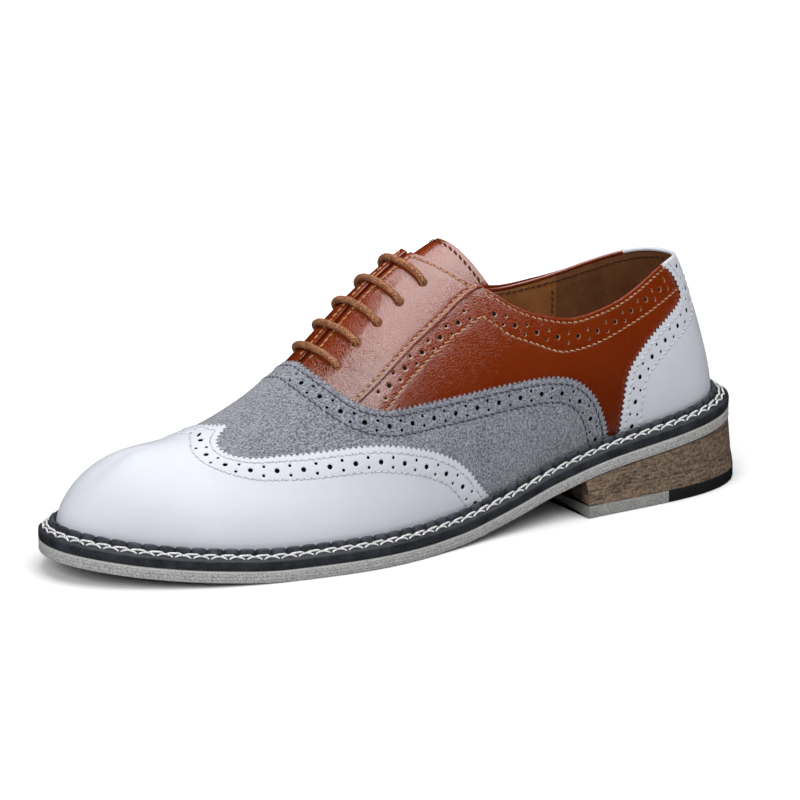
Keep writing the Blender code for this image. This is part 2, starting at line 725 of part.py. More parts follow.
def add_lace_bars():
    """Five round lace bars from eyelet to eyelet, each sagging a little to the toe at the gap."""
    sides = 8
    turn = np.linspace(0.0, 2.0 * np.pi, sides, endpoint=False)
    clear = OVERLAY_GAP + FACING_THICK + LACE_RADIUS + 0.6
    size = LACE_RADIUS * np.array([0.0, 0.7] + [1.0] * 9 + [0.7, 0.0])
    slide = np.concatenate([[1.0, 0.98], np.linspace(0.92, -0.92, 9), [-0.98, -1.0]])
    for number, (share, height) in enumerate(EYELETS, start=1):
        level = 1.0 - (1.0 - height) * np.abs(slide)
        forward = share + LACE_SAG * (1.0 - np.sqrt(slide ** 2 + 0.03))
        place = np.where(slide < 0.0, 2.0 - forward, forward)
        path = last_surface(place, level, clear)
        along = np.gradient(path, axis=0)
        along /= np.linalg.norm(along, axis=1)[:, None]
        up = last_surface(place, level, clear + 1.0) - path
        side = np.cross(along, up)
        side /= np.linalg.norm(side, axis=1)[:, None]
        up = np.cross(side, along)
        spoke = np.cos(turn)[None, :, None] * side[:, None] + np.sin(turn)[None, :, None] * up[:, None]
        tube = path[:, None] + size[:, None, None] * spoke
        grid = np.arange(tube.shape[0] * sides).reshape(tube.shape[:2])
        faces = quads(np.column_stack([grid, grid[:, :1]]))
        add_solid("lace_bar_%d" % number, tube.reshape(-1, 3), faces, "lace_cord")


for old in list(bpy.data.objects):
    bpy.data.objects.remove(old, do_unlink=True)

add_outsole()
add_welt()
add_insole()
add_heel()
eyelet_punch = add_eyelet_punch()
add_upper(eyelet_punch)
add_wing_cap()
add_vamp()
add_counter()
add_facings(eyelet_punch)
add_tongue()
add_lace_bars()
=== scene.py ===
import bpy
import numpy as np
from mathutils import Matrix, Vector
from mathutils.geometry import delaunay_2d_cdt


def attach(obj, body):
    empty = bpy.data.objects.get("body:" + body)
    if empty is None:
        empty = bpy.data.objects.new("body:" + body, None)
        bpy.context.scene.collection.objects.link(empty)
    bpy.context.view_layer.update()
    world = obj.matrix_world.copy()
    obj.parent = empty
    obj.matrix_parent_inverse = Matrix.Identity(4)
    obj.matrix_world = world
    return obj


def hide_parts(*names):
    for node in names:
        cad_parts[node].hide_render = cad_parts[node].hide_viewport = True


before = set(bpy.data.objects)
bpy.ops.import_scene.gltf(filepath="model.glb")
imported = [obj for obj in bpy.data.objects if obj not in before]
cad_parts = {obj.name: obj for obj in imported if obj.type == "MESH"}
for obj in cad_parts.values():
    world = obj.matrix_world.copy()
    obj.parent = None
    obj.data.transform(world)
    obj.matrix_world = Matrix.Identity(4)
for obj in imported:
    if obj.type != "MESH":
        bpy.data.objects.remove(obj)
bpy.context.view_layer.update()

# Studio
# A pale paper floor under one broad softbox, hung level overhead and to the outer side, that the
# polished facings mirror. A fill from the front, the room and the paper's bounce soften the shadows.
CAMERA_PLACE = Vector((0.8535, 1.3755, 0.4979))
CAMERA_AIM = Vector((0.0, 0.0, 0.048))
CAMERA_LENS = 196.0
OVERHEAD_LEVEL = 1.085
OVERHEAD_TURN = (0.0, 0.0, 16.7)
FLOOR_HALF = 6.0
BOUNCE_LEVEL = -0.0004


class Shade:
    """A socket of a material's nodes: arithmetic on it adds Math nodes, node() adds any other."""

    def __init__(self, tree, socket=None):
        self.tree = tree
        self.socket = socket

    def node(self, kind, settings, sockets, output=0):
        """Adds a node, sets its settings, then gives each named socket its value or link."""
        made = self.tree.nodes.new(kind)
        for name, value in settings.items():
            setattr(made, name, value)
        for name, value in sockets.items():
            if isinstance(value, Shade):
                self.tree.links.new(value.socket, made.inputs[name])
            else:
                made.inputs[name].default_value = value
        return Shade(self.tree, made.outputs[output])

    def math(self, operation, first, second=0.0):
        return self.node("ShaderNodeMath", {"operation": operation}, {0: first, 1: second})

    def __add__(self, other):
        return self.math("ADD", self, other)

    def __radd__(self, other):
        return self.math("ADD", other, self)

    def __sub__(self, other):
        return self.math("SUBTRACT", self, other)

    def __rsub__(self, other):
        return self.math("SUBTRACT", other, self)

    def __mul__(self, other):
        return self.math("MULTIPLY", self, other)

    def __rmul__(self, other):
        return self.math("MULTIPLY", other, self)

    def __truediv__(self, other):
        return self.math("DIVIDE", self, other)

    def __rtruediv__(self, other):
        return self.math("DIVIDE", other, self)

    def __pow__(self, other):
        return self.math("POWER", self, other)

    def apart(self, pitch):
        """Distance from the nearest whole multiple of a pitch."""
        return self.math("PINGPONG", self, 0.5 * pitch)

    def rise(self, low, high):
        """Smooth step from 0 at low to 1 at high."""
        return self.node("ShaderNodeMapRange", {"interpolation_type": "SMOOTHSTEP"},
                         {"Value": self, "From Min": low, "From Max": high})

    def blend(self, low, high):
        """Colour between low and high by this factor; each is a Shade or red, green and blue."""
        low, high = (end if isinstance(end, Shade) else (*end, 1.0) for end in (low, high))
        return self.node("ShaderNodeMix", {"data_type": "RGBA"}, {0: self, 6: low, 7: high}, 2)

    def axis(self, name):
        """One axis of this vector."""
        return self.node("ShaderNodeSeparateXYZ", {}, {"Vector": self}, name)

    def kept(self, name):
        """Named value kept at the mesh's points."""
        return self.node("ShaderNodeAttribute", {"attribute_name": name}, {}, "Fac")

    def noise(self, size, detail=2.0, stretch=(1.0, 1.0, 1.0)):
        """Noise of a feature size in metres, on this vector."""
        scaled = self.node("ShaderNodeMapping", {}, {"Vector": self, "Scale": stretch})
        return self.node("ShaderNodeTexNoise", {},
                         {"Vector": scaled, "Scale": 1.0 / size, "Detail": detail})

    def cells(self, size):
        """Distance to the nearest cell border of a cell size in metres, on this vector."""
        return self.node("ShaderNodeTexVoronoi", {"feature": "DISTANCE_TO_EDGE"},
                         {"Vector": self, "Scale": 1.0 / size})


def new_finish(name, constants):
    """Material with constants set on its shader, with its object places and its UV places."""
    material = bpy.data.materials.new(name)
    material.use_nodes = True
    tree = material.node_tree
    shader = tree.nodes["Principled BSDF"]
    for socket, value in constants.items():
        shader.inputs[socket].default_value = value
    place = Shade(tree).node("ShaderNodeTexCoord", {}, {}, "Object")
    layout = Shade(tree).node("ShaderNodeUVMap", {}, {})
    return material, place, layout


def paint(material, colour=None, roughness=None, relief=None, strength=0.5, depth=0.0004):
    """Links colour, roughness and bump relief to a material's shader."""
    tree = material.node_tree
    shader = tree.nodes["Principled BSDF"]
    if colour is not None:
        tree.links.new(colour.socket, shader.inputs["Base Color"])
    if roughness is not None:
        tree.links.new(roughness.socket, shader.inputs["Roughness"])
    if relief is not None:
        bump = relief.node("ShaderNodeBump", {},
                           {"Height": relief, "Strength": strength, "Distance": depth})
        tree.links.new(bump.socket, shader.inputs["Normal"])


def add_softbox(name, place, turn, width, depth, watts):
    """White rectangular light at a place, turned from facing down by degrees about each axis."""
    lamp = bpy.data.lights.new(name, "AREA")
    lamp.shape = "RECTANGLE"
    lamp.size = width
    lamp.size_y = depth
    lamp.energy = watts
    box = bpy.data.objects.new(name, lamp)
    box.location = place
    box.rotation_euler = np.radians(turn)
    bpy.context.scene.collection.objects.link(box)
    return box


camera = bpy.data.objects.new("camera", bpy.data.cameras.new("camera"))
camera.data.lens = CAMERA_LENS
camera.data.clip_end = 30.0
camera.location = CAMERA_PLACE
camera.rotation_euler = (CAMERA_AIM - CAMERA_PLACE).to_track_quat("-Z", "Y").to_euler()
bpy.context.scene.collection.objects.link(camera)
bpy.context.scene.camera = camera
bpy.context.scene.view_settings.view_transform = "Standard"

add_softbox("overhead", (-0.148, 0.618, OVERHEAD_LEVEL), OVERHEAD_TURN, 1.2, 1.54, 11.5)
add_softbox("overhead_strip", (-0.068, -0.424, OVERHEAD_LEVEL), OVERHEAD_TURN, 0.75, 0.50, 2.4)
front_fill = add_softbox("front_fill", (1.25, 0.62, 0.90), (0.0, 57.0, 26.4), 0.8, 1.2, 11.5)
front_fill.visible_glossy = False

world = bpy.data.worlds.new("studio")
world.use_nodes = True
background = world.node_tree.nodes["Background"]
background.inputs["Strength"].default_value = 1.0
above = Shade(world.node_tree).node("ShaderNodeTexCoord", {}, {}, "Generated").axis("Z")
room = above.rise(-0.05, 0.65).blend((0.06, 0.06, 0.06), (0.36, 0.36, 0.36))
world.node_tree.links.new(room.socket, background.inputs["Color"])
bpy.context.scene.world = world
world.cycles_visibility.glossy = False


def add_sheet(name, level, finish):
    """Square sheet of the stage at a level."""
    mesh = bpy.data.meshes.new(name)
    corners = [(-1, -1), (1, -1), (1, 1), (-1, 1)]
    mesh.from_pydata([(x * FLOOR_HALF, y * FLOOR_HALF, level) for x, y in corners], [], [(0, 1, 2, 3)])
    mesh.materials.append(finish)
    sheet = bpy.data.objects.new(name, mesh)
    sheet.visible_glossy = False
    bpy.context.scene.collection.objects.link(sheet)
    return sheet


paper, place, _ = new_finish("floor_paper", {"Roughness": 0.9, "Specular IOR Level": 0.1,
                                             "Emission Strength": 1.0})
paint(paper, place.noise(0.8).blend((1.08, 1.08, 1.08), (1.10, 1.10, 1.10)))
# The paper glows more the further it lies from the shoe: a painted glow that keeps the far floor white,
# while near the shoe only the lamps and their shadows show.
away = (((place.axis("X") / 1.5) ** 2.0 + place.axis("Y") ** 2.0) ** 0.5).rise(0.14, 0.60)
paper.node_tree.links.new(away.blend((0.0, 0.0, 0.0), (0.75, 0.75, 0.75)).socket,
                          paper.node_tree.nodes["Principled BSDF"].inputs["Emission Color"])
add_sheet("floor", 0.0, paper).visible_diffuse = False
card, place, _ = new_finish("grey_card", {"Roughness": 0.9, "Specular IOR Level": 0.1})
paint(card, place.noise(0.8).blend((0.64, 0.64, 0.65), (0.67, 0.67, 0.68)))
add_sheet("floor_bounce", BOUNCE_LEVEL, card).visible_camera = False

# Outsole
# One thick grey sole, moulded in thin layers that show as fine lines round its edge. It has
# a shank arch ahead of the heel and springs up at the toe, and is glued and stitched to the welt.
LENGTH = 300.0
CENTRE = np.array([149.4, 0.328, 0.0])
OUTSOLE_THICK = 4.8
SOLE_STEPS = 480
CAP_RISE = -2.0
# Rows of a place along the sole and the outer and inner edge there, in millimetres
OUTLINE = np.array([
    (0.0, 0.0, 0.0), (7.0, 20.0, -20.0), (35.0, 34.0, -32.0), (72.0, 36.6, -30.5),
    (110.0, 39.1, -29.5), (150.0, 45.7, -35.5), (185.0, 51.2, -45.0), (215.0, 48.7, -50.5),
    (245.0, 41.9, -48.0), (272.0, 29.5, -39.3), (290.0, 15.6, -28.3), (300.0, -6.0, -6.0),
])
# Rows of a place along the sole and the height of its underside
UNDERSIDE = np.array([
    (0.0, 25.3), (36.0, 21.6), (72.0, 17.4), (100.0, 11.7), (125.0, 5.2), (150.0, 0.9),
    (172.0, 0.0), (226.0, 0.0), (250.0, 1.5), (275.0, 3.9), (300.0, 7.4),
])


def curve_through(knots, rows, period=None):
    """Cubic spline through rows at rising knots, with natural ends or closed over a period."""
    knots = np.asarray(knots, float)
    rows = np.asarray(rows, float).reshape(len(knots), -1)
    if period:
        knots = np.append(knots, knots[0] + period)
        rows = np.vstack([rows, rows[:1]])
    last = len(knots) - 1
    step = np.diff(knots)
    rise = np.diff(rows, axis=0) / step[:, None]
    system = np.eye(last + 1)
    change = np.zeros_like(rows)
    for i in range(1, last):
        system[i, i - 1:i + 2] = step[i - 1], 2.0 * (step[i - 1] + step[i]), step[i]
        change[i] = 6.0 * (rise[i] - rise[i - 1])
    if period:
        system[0, last] = -1.0
        system[last, :] = 0.0
        system[last, [0, 1, last - 1]] = 2.0 * (step[0] + step[-1]), step[0], step[-1]
        change[last] = 6.0 * (rise[0] - rise[-1])
    bend = np.linalg.solve(system, change)

    def value(place):
        place = np.asarray(place, float)
        if period:
            place = knots[0] + (place - knots[0]) % period
        place = np.clip(place, knots[0], knots[-1])
        k = np.clip(np.searchsorted(knots, place, side="right") - 1, 0, last - 1)
        width = step[k][..., None]
        ahead = (place - knots[k])[..., None]
        behind = width - ahead
        curved = (bend[k] * behind ** 3 + bend[k + 1] * ahead ** 3) / (6.0 * width)
        straight = rows[k] * behind + rows[k + 1] * ahead
        return curved + straight / width - width * (bend[k] * behind + bend[k + 1] * ahead) / 6.0

    return value


def flat_keeping_curve(rows):
    """Piecewise cubic through (x, z) rows that never overshoots, so level rows stay level."""
    x, z = rows.T
    step = np.diff(x)
    rise = np.diff(z) / step
    slope = np.zeros(len(x))
    slope[0], slope[-1] = rise[0], rise[-1]
    both = rise[:-1] * rise[1:] > 0.0
    total = np.where(both, rise[:-1] + rise[1:], 1.0)
    slope[1:-1] = np.where(both, 2.0 * rise[:-1] * rise[1:] / total, 0.0)

    def value(place):
        place = np.clip(place, x[0], x[-1])
        k = np.clip(np.searchsorted(x, place, side="right") - 1, 0, len(step) - 1)
        t = (place - x[k]) / step[k]
        ends = (2.0 * t ** 3 - 3.0 * t ** 2) * (z[k] - z[k + 1]) + z[k]
        turning = (t ** 3 - t ** 2) * slope[k + 1] + (t ** 3 - 2.0 * t ** 2 + t) * slope[k]
        return ends + step[k] * turning

    return value


def unit(vectors):
    """Vectors scaled to length 1."""
    return vectors / np.linalg.norm(vectors, axis=-1)[..., None]


def run_along(points):
    """Length of the way along points, from 0 at the first of them."""
    return np.concatenate([[0.0], np.cumsum(np.linalg.norm(np.diff(points, axis=0), axis=1))])


def share_of(x):
    """Share round the last of a place on its length: 0 at the heel, 1 at the toe."""
    return np.arccos(np.clip(1.0 - 2.0 * np.asarray(x, float) / LENGTH, -1.0, 1.0)) / np.pi


def round_the_last(x, lateral, medial):
    """Closed spline of rows at places on the length, up the lateral side and back down the medial."""
    share = share_of(x)
    knots = np.concatenate([share, 2.0 - share[-2:0:-1]])
    return curve_through(knots, np.concatenate([lateral, medial[-2:0:-1]]), 2.0)


EDGE_Y = round_the_last(OUTLINE[:, 0], OUTLINE[:, 1], OUTLINE[:, 2])
SOLE_Z = flat_keeping_curve(UNDERSIDE)


def plan(share, inset=0.0):
    """Points of the sole edge at each share, moved in by an inset along the edge's normal."""
    def edge(spot):
        x = 0.5 * LENGTH * (1.0 - np.cos(np.pi * spot))
        return np.stack([x, EDGE_Y(spot)[..., 0]], axis=-1)

    share = np.asarray(share, float)
    along = edge(share + 0.0001) - edge(share - 0.0001)
    outward = unit(np.stack([-along[..., 1], along[..., 0]], axis=-1))
    return edge(share) - np.asarray(inset, float)[..., None] * outward


def sole_ring(share, inset, rise):
    """Points round the sole at an inset, a rise above the outsole's underside."""
    level = SOLE_Z(plan(share)[..., 0]) + rise
    return np.concatenate([plan(share, inset), level[..., None]], axis=-1)


def even_shares(count, inset=0.0):
    """Shares of places spaced evenly along the sole edge at an inset, and the edge's length."""
    fine = np.linspace(0.0, 2.0, 4001)
    run = run_along(plan(fine, inset))
    return np.interp(np.linspace(0.0, run[-1], count, endpoint=False), run, fine), run[-1]


def add_piece(name, points, faces, material, replaced=(), layout=None, marks=None, crease=35.0):
    """Object from points in the last's millimetres and faces as lists of point numbers.

    layout gives each face corner its UV, marks give named values to each point.
    """
    mesh = bpy.data.meshes.new(name)
    mesh.from_pydata(((np.asarray(points) - CENTRE) * 0.001).tolist(), [], faces)
    for mark, values in (marks or {}).items():
        kept = mesh.attributes.new(mark, "FLOAT", "POINT")
        kept.data.foreach_set("value", np.asarray(values, np.float32))
    if layout is not None:
        corners = mesh.uv_layers.new(name="layout")
        corners.uv.foreach_set("vector", np.asarray(layout, np.float32).ravel())
    mesh.shade_smooth()
    mesh.set_sharp_from_angle(angle=np.radians(crease))
    mesh.materials.append(material)
    piece = bpy.data.objects.new(name, mesh)
    bpy.context.scene.collection.objects.link(piece)
    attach(piece, "root")
    if replaced:
        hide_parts(*replaced)
    return piece


def grid_faces(columns, rows, wrap_columns=False, wrap_rows=False):
    """Faces of a grid of points and, for each face corner, its column and row before wrapping."""
    i, j = np.meshgrid(np.arange(columns - (not wrap_columns)), np.arange(rows - (not wrap_rows)),
                       indexing="ij")
    column = np.stack([i, i + 1, i + 1, i], axis=-1).reshape(-1, 4)
    row = np.stack([j, j, j + 1, j + 1], axis=-1).reshape(-1, 4)
    return (column % columns) * rows + row % rows, column, row


def across_faces(count, rows, row):
    """Strips across a ring of points, from side to side, that close it at one row."""
    k = np.arange(count // 2)
    strips = np.stack([k, k + 1, count - 1 - k, (count - k) % count], axis=-1) * rows + row
    return [list(dict.fromkeys(strip)) for strip in strips.tolist()]


def add_ringed(name, rings, run, rise, material, replaced):
    """Closed solid through a stack of rings, its UV the run round them and the rise in millimetres.

    The level ends of the solid have a rise of their own, well below 0.
    """
    grid = np.stack(rings, axis=1)
    count, rows = grid.shape[:2]
    faces, column, row = grid_faces(count, rows, wrap_columns=True)
    around = np.append(run, 2.0 * run[-1] - run[-2])
    layout = np.stack([around[column], np.asarray(rise)[row]], axis=-1)[:, ::-1].reshape(-1, 2)
    caps = across_faces(count, rows, 0) + [face[::-1] for face in across_faces(count, rows, rows - 1)]
    spare = np.tile([0.0, CAP_RISE], (sum(len(face) for face in caps), 1))
    return add_piece(name, grid.reshape(-1, 3), faces[:, ::-1].tolist() + caps, material, replaced,
                     np.concatenate([layout, spare]))


sole_finish, place, layout = new_finish("sole_layers",
                                        {"Roughness": 0.62, "Specular IOR Level": 0.35})
height = layout.axis("Y")
lines = height.apart(1.25).rise(0.04, 0.30)
streak = place.noise(0.0035, 4.0, (1.0, 1.0, 14.0))
speck = place.noise(0.0006, 2.0)
tone = (0.84 + 0.16 * lines) * (0.60 + 0.45 * streak) * (0.45 + 0.95 * speck.rise(0.3, 0.7))
tone = (tone + 0.3 * height.rise(3.7, 4.3)).rise(0.25, 1.25)
tone = (tone - 0.9 + 0.9 * height.rise(-1.6, -0.4)).rise(-0.9, 1.0)
paint(sole_finish, tone.blend((0.018, 0.018, 0.019), (0.56, 0.56, 0.55)),
      relief=lines + 0.5 * speck, strength=0.5, depth=0.0002)

sole_shares, sole_length = even_shares(SOLE_STEPS)
sole_run = np.linspace(0.0, sole_length, SOLE_STEPS, endpoint=False)
sole_profile = [(2.4, 0.0), (0.9, 0.0), (0.25, 0.3), (0.0, 0.9), (0.05, 1.9), (0.05, 2.9),
                (0.0, 4.0), (0.15, 4.5), (0.6, OUTSOLE_THICK)]
add_ringed("outsole_layers", [sole_ring(sole_shares, inset, rise) for inset, rise in sole_profile],
           sole_run, [rise for _, rise in sole_profile], sole_finish, ["outsole"])

# Heel
# A wedge of leather lifts stacked under the heel seat, then two top pieces side by side under it:
# a grey one at the breast and a hard black one at the back, nailed and glued in place.
HEEL_BREAST = 87.0
BREAST_HOLLOW = 4.0
HEEL_FLARE = 2.1
LIFT_HEIGHT = 5.0
LIFT_SPLIT = 48.0
SEAT_RISE = 15.0
JOIN = 0.12


def heel_ring(low_x, high_x, flare, height=None):
    """Ring of the heel between two places on its length, flared out from the sole edge.

    height is a level in millimetres, or None for the level of the outsole's underside. At the
    breast the ring is hollowed a little between its corners.
    """
    inner = np.linspace(share_of(max(low_x, 0.0)), share_of(high_x), 60)
    side = inner if low_x > 0.0 else inner[1:]
    shares = np.concatenate([[] if low_x > 0.0 else [0.0], side, 2.0 - side[::-1]])
    edge = plan(shares, np.full(len(shares), -flare))
    edge[:, 0] = np.clip(edge[:, 0], low_x if low_x > 0.0 else -flare, high_x)
    if high_x == HEEL_BREAST:
        t = np.linspace(-1.0, 1.0, 15)[1:-1]
        corner = len(shares) - len(side)
        across = edge[corner - 1, 1] + (edge[corner, 1] - edge[corner - 1, 1]) * 0.5 * (1.0 + t)
        hollowed = np.column_stack([high_x - BREAST_HOLLOW * (1.0 - t ** 2), across])
        edge = np.insert(edge, corner, hollowed, axis=0)
    seat = SOLE_Z(np.clip(edge[:, 0], 0.0, high_x)) - JOIN
    return np.column_stack([edge, seat if height is None else np.full(len(edge), height)])


def heel_block(name, low_x, high_x, levels, material, replaced):
    """Solid of the heel through rings at levels of (flare, height)."""
    rings = [heel_ring(low_x, high_x, flare, height) for flare, height in levels]
    rise = [SEAT_RISE if height is None else height for _, height in levels]
    return add_ringed(name, rings, run_along(rings[0]), rise, material, replaced)


stack_finish, place, _ = new_finish("heel_leather", {"Roughness": 0.55, "Specular IOR Level": 0.35})
level = place.axis("Z") * 1000.0
fibre = place.noise(0.004, 5.0, (1.0, 1.0, 5.0))
speck = place.noise(0.0011, 3.0).rise(0.34, 0.68)
lift_line = (level + 1.6 * fibre).apart(11.6).rise(0.05, 0.40)
# The breast face, which lies in the shade under the arch, is painted near black: painted shade.
hollow = BREAST_HOLLOW * (1.0 - (place.axis("Y") / 0.033) ** 2.0)
breast_shade = (place.axis("X") * 1000.0 + CENTRE[0] - HEEL_BREAST + hollow).rise(-0.9, -0.3)
tone = (0.5 * fibre.rise(0.3, 0.7) + 0.5 * speck) * (0.35 + 0.65 * lift_line)
wood = tone.blend((0.050, 0.034, 0.024), (0.33, 0.232, 0.162))
paint(stack_finish, breast_shade.blend(wood, (0.010, 0.008, 0.007)),
      relief=lift_line + 0.5 * speck + 0.4 * fibre, strength=0.5, depth=0.0003)
black_finish, place, _ = new_finish("lift_black", {"Specular IOR Level": 0.4})
grime = place.noise(0.006, 4.0)
paint(black_finish, grime.blend((0.010, 0.010, 0.011), (0.024, 0.024, 0.026)),
      0.42 + 0.25 * grime, place.noise(0.0008), 0.35, 0.0002)
grey_finish, place, _ = new_finish("lift_grey", {"Specular IOR Level": 0.35})
grime = place.noise(0.005, 4.0)
speck = place.noise(0.0006, 2.0).rise(0.3, 0.7)
paint(grey_finish, (0.4 * grime + 0.6 * speck).blend((0.19, 0.188, 0.18), (0.54, 0.54, 0.53)),
      0.55 + 0.2 * grime, speck, 0.35, 0.0002)

wedge_levels = [(HEEL_FLARE, LIFT_HEIGHT + JOIN), (0.75 * HEEL_FLARE, 8.5),
                (0.45 * HEEL_FLARE, 11.5), (-0.2, None)]
heel_block("heel_wedge", 0.0, HEEL_BREAST, wedge_levels, stack_finish, ["heel_stack"])
lift_levels = [(HEEL_FLARE - 0.7, 0.0), (HEEL_FLARE - 0.15, 0.25), (HEEL_FLARE, 0.8),
               (HEEL_FLARE, LIFT_HEIGHT - 0.3), (HEEL_FLARE - 0.25, LIFT_HEIGHT)]
for name, low_x, high_x, material, slot in (
    ("heel_lift_rear", 0.0, LIFT_SPLIT - 0.5 * JOIN, black_finish, "lift_black"),
    ("heel_lift_front", LIFT_SPLIT + 0.5 * JOIN, HEEL_BREAST, grey_finish, "lift_grey"),
):
    heel_block(name + "_top_piece", low_x, high_x, lift_levels, material, [name])

# Welt
# A strip of black-stained leather sewn round the upper: a square edge, a sloping top that carries
# the stitching, and a raised rand, knurled by a hot wheel into a row of small pillows.
WELT_EDGE = 3.8
PART_GAP = 0.3
SLOPE_CROWN = 0.25
# Places on the rand's section: clearance from the upper and rise above the welt's base
RAND_FOOT = (3.0, 5.4)
RAND_MIDDLE = (1.95, 5.95)
RAND_HALF = (1.05, 1.75)
RAND_ROWS = slice(11, 22)
RAND_INSET = 3.8
RAND_PITCH = 6.0
RAND_STEPS = 12
# Ribs of the last: place along the sole, place on the crest and inset of the rib's foot, then
# the lean of its wall in degrees, its rise and its reach, on the outer and on the inner side
SECTIONS = np.array([
    (0.0, 45.0, 8.6, 6.0, 16.5, 11.5, 6.0, 16.5, 11.5),
    (7.0, 48.0, 8.4, 7.5, 17.0, 10.5, 8.0, 17.5, 11.0),
    (35.0, 62.0, 7.4, 12.0, 20.5, 13.0, 12.5, 21.0, 15.0),
    (72.0, 82.0, 6.8, 17.0, 27.5, 22.0, 17.5, 30.0, 27.0),
    (110.0, 112.0, 6.5, 17.0, 29.0, 27.0, 17.5, 31.5, 30.0),
    (150.0, 148.0, 6.5, 7.5, 22.5, 26.0, 7.0, 25.0, 27.0),
    (185.0, 178.0, 6.5, 7.5, 18.5, 25.0, 9.0, 18.0, 24.0),
    (215.0, 206.0, 6.5, 10.0, 16.5, 20.0, 11.5, 16.0, 19.0),
    (245.0, 232.0, 6.5, 12.0, 16.0, 18.5, 11.5, 14.0, 18.0),
    (272.0, 249.0, 6.8, 11.0, 13.5, 19.5, 10.5, 14.5, 20.5),
    (290.0, 256.5, 7.2, 7.5, 10.5, 20.5, 7.0, 10.5, 22.5),
    (300.0, 258.0, 7.4, 5.0, 7.5, 17.5, 5.0, 7.5, 17.5),
])
# Rows of a place along the crest and its height
CREST = np.array([
    (40.0, 130.0), (60.0, 129.5), (80.0, 128.0), (100.0, 124.3), (120.0, 117.5), (135.0, 111.0),
    (147.0, 105.0), (158.0, 98.3), (168.0, 91.0), (180.0, 80.5), (191.0, 71.0), (202.0, 63.5),
    (213.0, 57.5), (225.0, 52.0), (237.0, 48.2), (250.0, 46.2), (260.0, 45.8),
])
CREST_Z = curve_through(CREST[:, 0], CREST[:, 1])
RIB_SHAPE = round_the_last(SECTIONS[:, 0], SECTIONS[:, [1, 2, 3, 4, 5]],
                           SECTIONS[:, [1, 2, 6, 7, 8]])
FOOT_STACK = OUTSOLE_THICK + WELT_EDGE + 3.0 * PART_GAP
WELT_BASE = OUTSOLE_THICK + JOIN


def rib(share):
    """Four control points of the last's rib at each share, and the slope of the crest it meets."""
    crest_x, inset, lean, rise, reach = np.moveaxis(RIB_SHAPE(share), -1, 0)
    lean = np.radians(lean)
    foot = plan(share, inset)
    level = np.zeros_like(crest_x)
    out = unit(foot - np.stack([crest_x, level], axis=-1))
    slope = (CREST_Z(crest_x + 0.5) - CREST_Z(crest_x - 0.5))[..., 0]
    foot = np.stack([foot[..., 0], foot[..., 1], SOLE_Z(plan(share)[..., 0]) + FOOT_STACK], axis=-1)
    top = np.stack([crest_x, level, CREST_Z(crest_x)[..., 0]], axis=-1)
    wall = np.stack([out[..., 0] * np.sin(lean), out[..., 1] * np.sin(lean), np.cos(lean)], axis=-1)
    shoulder = np.stack([out[..., 0], out[..., 1], slope * out[..., 0]], axis=-1)
    return foot, foot + rise[..., None] * wall, top + reach[..., None] * shoulder, top, slope


def beside_upper(share, clear, rise):
    """Points at a clearance outside the foot of the upper, leaning with its wall as they rise."""
    clear, rise = (np.broadcast_to(value, share.shape) for value in (clear, rise))
    foot, wall, _, _, _ = rib(share)
    lean = wall - foot
    out = plan(share) - plan(share, np.ones_like(share))
    leaning = np.maximum(rise - FOOT_STACK, 0.0)[:, None] * (lean[:, :2] / lean[:, 2:])
    over = foot[:, :2] + clear[:, None] * out + leaning
    return np.column_stack([over, SOLE_Z(plan(share)[:, 0]) + rise])


def on_welt(share, place):
    """Points of the welt's crowned slope, from 0 at its outer edge to 1 at the rand."""
    outer = sole_ring(share, 0.5, WELT_BASE + WELT_EDGE)
    inner = beside_upper(share, RAND_FOOT[0], WELT_BASE + RAND_FOOT[1])
    crown = np.array([0.0, 0.0, SLOPE_CROWN * np.sin(np.pi * place)])
    return outer + (inner - outer) * place + crown


def welt_profile(share, pillow):
    """Rows of the welt's section at each share; pillow, 0 to 1, swells the rand's half-round top."""
    edge = ((0.5, 0.0), (0.1, 0.25), (0.0, 0.7), (0.0, WELT_EDGE - 0.7), (0.12, WELT_EDGE - 0.2),
            (0.5, WELT_EDGE))
    rows = [sole_ring(share, inset, WELT_BASE + rise) for inset, rise in edge]
    rows += [on_welt(share, place) for place in (0.2, 0.4, 0.6, 0.8, 1.0)]
    swell = 0.45 + 0.55 * pillow
    for turn in np.radians(np.linspace(-25.0, 165.0, 11)):
        clear = RAND_MIDDLE[0] + RAND_HALF[0] * swell * np.cos(turn)
        rise = RAND_MIDDLE[1] + RAND_HALF[1] * swell * np.sin(turn)
        rows.append(beside_upper(share, clear, WELT_BASE + rise))
    under = ((0.9, 4.4), (-3.0, 4.1), (-3.0, 0.0))
    return rows + [beside_upper(share, clear, WELT_BASE + rise) for clear, rise in under]


welt_finish, place, _ = new_finish("welt_stain", {"Specular IOR Level": 0.45})
wear = place.noise(0.005, 4.0)
fine = place.noise(0.0007, 3.0)
# The rand is painted lighter on its pillows' tops and darker in the grooves between them: painted
# highlight and shade.
tone = (0.6 * wear + 0.5 * fine).rise(0.3, 0.8) * (0.25 + place.kept("rand_shading"))
paint(welt_finish, tone.blend((0.012, 0.013, 0.016), (0.080, 0.092, 0.112)),
      0.36 + 0.25 * wear, fine + 0.6 * wear, 0.45, 0.00025)

rand_count = int(round(even_shares(1, RAND_INSET)[1] / RAND_PITCH))
welt_shares, _ = even_shares(rand_count * RAND_STEPS, RAND_INSET)
phase = (np.arange(len(welt_shares)) % RAND_STEPS) / RAND_STEPS
pillow = np.sqrt(np.maximum(1.0 - np.abs(2.0 * phase - 1.0) ** 3.0, 0.0))
welt_rows = np.stack(welt_profile(welt_shares, pillow), axis=1)
